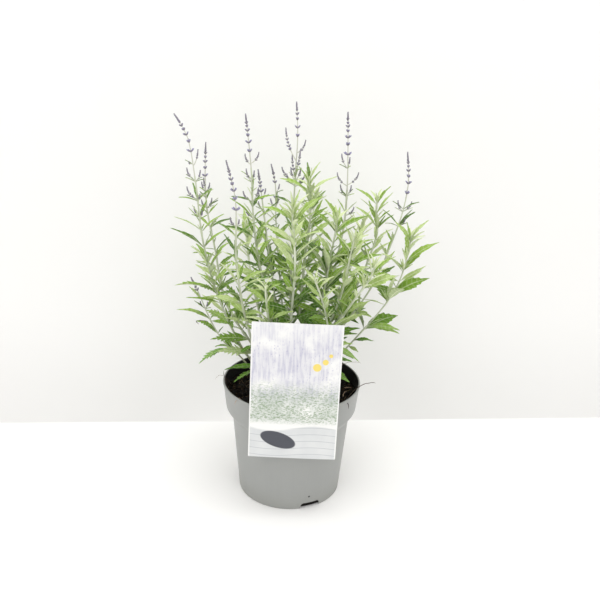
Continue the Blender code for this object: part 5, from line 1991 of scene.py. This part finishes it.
@dataclass
class FlowerSpike:
    """A stalk with whorls of curved buds, wider apart lower down, and a dense tapering tip."""

    turned: bool = False
    stalk: float = 0.68
    bud_length: float = 5.9
    bud_width: float = 1.8
    stalk_turn: float = 0.785
    large: list[Bud] = field(default_factory=list)
    small: list[Bud] = field(default_factory=list)

    def whorl_places(self, length: float) -> Array:
        """Distances from a side branch's tip to its whorls, evenly apart."""
        return 9.0 + 3.4 * np.arange(max(0, min(5, int((length - 8.0) / 4.6))))

    def frame_at(self, line: Array, below_tip: float) -> tuple[Array, Array, Array, Array]:
        """The frame of a stalk at a distance below its tip.

        Args:
            line: The stalk's line.
            below_tip: The distance.

        Returns:
            The place, the stalk's way and two directions square to it.
        """
        lengths = lengths_along(line)
        places = lengths[-1] - below_tip + np.array((-1.0, 0.0, 1.0))
        before, point, after = points_at(line, lengths, places)
        way = unit(after - before)
        first = unit(np.array((1.0, 0.0, 0.0)) - way * way[0])
        return point, way, first, np.cross(way, first)

    def whorl(self, line: Array, below_tip: float, number: int, scale: float, rng: Draws) -> None:
        """One whorl: two opposite sprays of three long buds, and short ones between them.

        Args:
            line: The stalk's line.
            below_tip: Distance from its tip.
            number: Number of whorls above it, which makes it larger, wider and bluer.
            scale: Size by a main spike's.
            rng: Source of the draws.
        """
        point, way, first, second = self.frame_at(line, below_tip)
        if (number + self.turned) % 2:
            first, second = second, -first
        size = scale * (0.52 + 0.06 * number)
        bloom = min(1.0, 0.1 + 0.14 * number)
        lift = 60.0 - 3.6 * number
        for sign in (1.0, -1.0):
            for fan, share in ((-0.65, 0.9), (0.0, 1.0), (0.65, 0.9)):
                out = (first * math.cos(fan) + second * math.sin(fan)) * sign
                self.large.append(Bud(point, out, way, lift + rng.uniform(-7, 7),
                                      self.bud_length * size * share * rng.uniform(0.92, 1.08),
                                      self.bud_width * size * rng.uniform(0.9, 1.05), bloom))
            self.large.append(Bud(point, second * sign, way, lift + 14.0, self.bud_length * size * 0.42,
                                  self.bud_width * size * 0.8, bloom))

    def tip(self, line: Array, reach: float, scale: float, rng: Draws) -> None:
        """The dense tip: rings of four small buds, each ring an eighth turn from the last.

        Args:
            line: The stalk's line.
            reach: Length of the tip.
            scale: Size by a main spike's.
            rng: Source of the draws.
        """
        for number, below in enumerate(np.arange(0.8, reach, 1.0)):
            point, way, first, second = self.frame_at(line, below)
            full = (0.6 + 0.4 * below / reach) * scale
            for quarter in range(4):
                angle = (quarter + number * 0.5) * math.pi / 2
                out = first * math.cos(angle) + second * math.sin(angle)
                self.small.append(Bud(point, out, way, rng.uniform(56.0, 74.0), 2.15 * full, 1.1 * full,
                                      rng.uniform(0.0, 0.2)))

    def stem(self, draft: Draft, line: Array, scale: float) -> None:
        """The stalk: a thin tube that narrows to the tip.

        Args:
            draft: The draft that takes it.
            line: Its line.
            scale: Size by a main spike's.
        """
        track = walk(line, 2.5)
        track = np.vstack([track[:1], track, line[-1:]])
        share = np.linspace(0.0, 1.0, len(track))
        size = self.stalk * scale * (1.0 - 0.6 * share)
        points = skins(track[None], np.repeat(size[None, :, None], 2, axis=2), ring_section(6),
                       compass(self.stalk_turn)[None])
        draft.add(points, skin_faces(len(track) - 2, 6), np.array((0.0, 0.3, 0.5, 1.0)))

    def dress(self, draft: Draft, line: Array, scale: float, rng: Draws,
              places: tuple[float, ...] | None = None) -> None:
        """Put a stalk, whorls and a dense tip along a line.

        Args:
            draft: The draft that takes the stalk.
            line: Points from the foot to the tip.
            scale: Size by a main spike's.
            rng: Source of the draws.
            places: Distances of the whorls from the tip, or None for those of a side branch.
        """
        length = float(np.linalg.norm(np.diff(line, axis=0), axis=1).sum())
        self.stem(draft, line, scale)
        for number, place in enumerate(places or self.whorl_places(length)):
            if place < length - 1.5:
                self.whorl(line, place, number, scale, rng)
        self.tip(line, min(places[0] - 1.2 if places else 7.0, length * 0.62), scale, rng)

    def draw(self, draft: Draft, rng: Draws) -> None:
        """Draw all buds that were gathered."""
        LARGE_BUD.draw(draft, self.large, rng)
        SMALL_BUD.draw(draft, self.small, rng)


@dataclass
class FlowerSpikes:
    """All flower spikes with their side branches, and the spikelets in the leaf axils."""

    branch_scale: float = 0.85
    spikelet_scale: float = 0.88

    def branch_line(self, root: Array, tip: Point) -> Array:
        """A side branch: it leaves the stem outwards and turns up to its tip.

        Args:
            root: Its place on the stem.
            tip: Its tip.

        Returns:
            Points along it.
        """
        end = np.array(tip, dtype=float)
        bow = (root + end) / 2 + np.array((end[0] - root[0], end[1] - root[1], -4.0)) * 0.42
        return arc(np.array([root, bow, end]), np.linspace(0.0, 1.0, 12))

    def build(self) -> None:
        """Make a piece for each spike, and one for the spikelets and the whorls below a spike's foot."""
        material = FlowerFelt().material()
        for name, stem in STEMS.items():
            if stem.leafy():
                continue
            rng = stem.draws(2000)
            line = stem.smooth(np.linspace(stem.bloom_from, stem.route[-1][2], 60))
            spike, draft = FlowerSpike(name in TURNED_WHORLS), Draft("sage_spike_" + name, "bud")
            spike.dress(draft, line, 1.0, rng, WHORLS.get(name))
            for start, end in SPIKE_BRANCHES.get(name, []):
                spike.dress(draft, self.branch_line(stem.smooth(start[2])[0], end), self.branch_scale, rng)
            spike.draw(draft, rng)
            settle(draft.piece(material), "flowers", "flower_spike_" + name)
        rng = np.random.default_rng(SEED * 3000)
        spike, draft = FlowerSpike(), Draft("side_spikelets", "bud")
        for name, rows in SIDE_SPIKELETS.items():
            for height, *tip in rows:
                line = self.branch_line(STEMS[name].smooth(height)[0], tip)
                spike.dress(draft, line, self.spikelet_scale, rng)
        for name, places in WHORLS.items():
            stem = STEMS[name]
            top = stem.route[-1][2]
            line = stem.smooth(np.linspace(stem.top() - 25.0, top, 60))
            for number, place in enumerate(places):
                if place > (top - stem.top()) * 1.02:
                    spike.whorl(line, place, number, 1.0, rng)
        spike.draw(draft, rng)
        settle(draft.piece(material), "flowers")


@dataclass
class LooseBits:
    """Roots, twigs and straws that lie on the rim, the soil and a leaf, or stick out of the soil.

    Each thread has the control points of its line, half its thickness, and its darkness.
    """

    steps: int = 14
    wobble: float = 0.35
    threads: tuple[tuple[tuple[Point, Point, Point], float, float], ...] = (
        (((60.0, -16.0, 114.0), (72.0, -17.0, 138.5), (91.0, -17.0, 136.5)), 0.62, 0.85),
        (((46.0, 42.0, 115.0), (57.0, 42.0, 138.0), (80.0, 40.0, 132.5)), 0.27, 0.5),
        (((56.5, -40.0, 116.0), (59.0, -43.0, 134.0), (60.5, -46.7, 120.0)), 0.65, 1.0),
        (((-51.0, -38.0, 116.5), (-54.0, -47.0, 137.0), (-59.0, -50.5, 123.5)), 0.62, 0.0),
        (((-66.0, -12.0, 117.0), (-75.0, -10.0, 139.0), (-74.0, -8.0, 142.0)), 0.4, 0.9),
        (((58.0, 6.0, 117.5), (63.0, 3.0, 121.0), (67.0, 6.0, 117.8)), 0.6, 0.1),
        (((56.0, -15.0, 117.5), (57.0, -8.0, 121.0), (61.0, -3.0, 117.8)), 0.7, 0.1),
        (((-66.0, 8.0, 116.0), (-78.0, 4.0, 138.0), (-84.0, 2.0, 126.0)), 0.22, 0.5),
        (((20.0, 60.0, 115.5), (24.0, 72.0, 138.0), (30.0, 80.0, 124.0)), 0.3, 0.7),
        (((50.0, -36.0, 117.2), (55.0, -38.0, 119.5), (60.0, -35.0, 118.0)), 1.1, 0.05),
        (((-89.0, -12.0, 200.0), (-108.0, -12.0, 203.0), (-99.0, -12.0, 196.5)), 0.6, 0.8),
        (((-43.2, -22.0, 173.5), (-53.8, -28.0, 179.5), (-64.6, -30.0, 177.8)), 0.5, 0.7),
    )

    def build(self) -> None:
        """Make each thread as a thin skin along a bowed line that wobbles more towards its end."""
        draft = Draft("loose_roots", "thread")
        share = np.linspace(0.0, 1.0, self.steps)
        sway = np.sin(np.arange(self.steps)[:, None] * np.array((1.3, 1.9, 2.3))) * self.wobble
        for curve, size, dark in self.threads:
            path = arc(np.array(curve), share) + sway * share[:, None]
            sizes = size * np.linspace(1.0, 0.45, self.steps)[None, :, None] * np.ones((1, 1, 2))
            draft.add(skins(path[None], sizes, ring_section(5), np.array([(0.3, 0.9, 0.2)])),
                      skin_faces(self.steps - 2, 5), np.array((dark, 0.0, 0.5, 0.0)))
        settle(draft.piece(DryFibre().material()), "soil")


# -------- studio

@dataclass
class Studio:
    """Pale sweep, soft light and the camera at the photograph's place.

    The camera has a place in metres, a lens, and angles in degrees. The sweep has a wall behind
    the pot, its turn, the radius of its foot and its reach.
    """

    place: Point = (0.0, -0.8, 0.5256)
    lens: float = 48.6
    pitch: float = 20.736
    yaw: float = 0.453
    roll: float = 1.812
    world: float = 0.985
    wall: float = 138.6
    wall_turn: float = 0.074
    foot: float = 1.5
    reach: float = 6000.0

    def sweep(self) -> None:
        """Floor that curves up into a wall: straight, a quarter circle, straight.

        The wall stands askew: each part of it is farther back by its x times the wall's turn.
        """
        turn = np.linspace(0.0, np.pi / 2, 12)
        bend = self.wall + self.foot * (np.sin(turn) - 1.0)
        y = np.concatenate([[-self.reach, -800.0], bend, [self.wall]])
        z = np.concatenate([[0.0, 0.0], self.foot * (1.0 - np.cos(turn)), [5000.0]])
        x = np.linspace(-self.reach, self.reach, 13)
        shape = (len(y), len(x))
        points = np.stack([np.broadcast_to(x, shape), y[:, None] + x * self.wall_turn,
                           np.broadcast_to(z[:, None], shape)], axis=-1)
        draft = Draft("studio_sweep", "paper")
        draft.add(points.reshape(1, -1, 3), (grid_faces(*shape), NO_TRIANGLES), np.zeros(4))
        draft.piece(StudioPaper().material())

    def light(self, name: str, place: Point, aim: Point, size: float, power: float) -> None:
        """Hang one square soft light.

        Args:
            name: Its name.
            place: Where it hangs, in metres.
            aim: What it points at, in metres.
            size: Its side in metres.
            power: Its power in watts.
        """
        lamp = bpy.data.lights.new(name, "AREA")
        lamp.shape = "SQUARE"
        lamp.size = size
        lamp.energy = power
        held = bpy.data.objects.new(name, lamp)
        way = unit(np.array(aim) - np.array(place))
        side = unit(np.cross(way, (0.0, 0.0, 1.0)) + np.array((1e-6, 0.0, 0.0)))
        self.turn_to(held, place, side, np.cross(side, way), way)
        bpy.context.scene.collection.objects.link(held)

    def turn_to(self, item: Object, place: Point, right: Array, up: Array, way: Array) -> None:
        """Stand an object at a place.

        Args:
            item: The object.
            place: Its place in metres.
            right: Where its right is.
            up: Where its top is.
            way: The way that it looks.
        """
        matrix = np.eye(4)
        matrix[:3, 0], matrix[:3, 1], matrix[:3, 2], matrix[:3, 3] = right, up, -way, place
        item.matrix_world = Matrix(matrix.tolist())

    def camera(self) -> None:
        """Stand the camera where the photograph was taken from."""
        pitch, yaw, roll = (math.radians(angle) for angle in (self.pitch, self.yaw, self.roll))
        way = np.array((math.sin(yaw) * math.cos(pitch), math.cos(yaw) * math.cos(pitch), -math.sin(pitch)))
        level = np.array((math.cos(yaw), -math.sin(yaw), 0.0))
        upright = np.cross(level, way)
        right = math.cos(roll) * level + math.sin(roll) * upright
        up = math.cos(roll) * upright - math.sin(roll) * level
        eye = bpy.data.objects.new("photo_camera", bpy.data.cameras.new("photo_camera"))
        eye.data.sensor_width = 36.0
        eye.data.lens = self.lens
        eye.data.clip_start, eye.data.clip_end = 0.05, 30.0
        self.turn_to(eye, self.place, right, up, way)
        bpy.context.scene.collection.objects.link(eye)
        bpy.context.scene.camera = eye

    def build(self) -> None:
        """Set up the sweep, the lights and the camera."""
        scene = bpy.context.scene
        scene.world = bpy.data.worlds.new("studio_air")
        scene.world.use_nodes = True
        air = scene.world.node_tree.nodes["Background"]
        air.inputs["Color"].default_value = (1.0, 0.99, 0.97, 1.0)
        air.inputs["Strength"].default_value = self.world
        self.sweep()
        self.light("front_softbox", (-0.5, -1.2, 1.4), (0.0, 0.0, 0.2), 1.0, 3.5)
        self.light("top_softbox", (0.10, -0.15, 1.7), (0.0, 0.0, 0.2), 0.9, 11.0)
        self.camera()
        scene.view_settings.view_transform = "Standard"


def main() -> None:
    """Build the plant in its pot, the label and the studio, and note the sizes."""
    pot, card, stake = NurseryPot(), PictureCard(), CardStake()
    pot.build()
    PottingSoil(pot).build()
    card.build()
    stake.build()
    plan = LeafPlan(card, stake)
    plan.large_leaves()
    LOG.info("leaves of the solids: %d", sum(len(stem.leaves) for stem in STEMS.values()))
    plan.small_leaves()
    skin = SageSkin().material()
    leaves = sum(LeafyStem(stem).build(skin) for stem in STEMS.values())
    LOG.info("leaves in all: %d", leaves)
    FlowerSpikes().build()
    LooseBits().build()
    Studio().build()


if __name__ == "__main__":
    logging.basicConfig(level=logging.INFO, format="%(message)s")
    main()
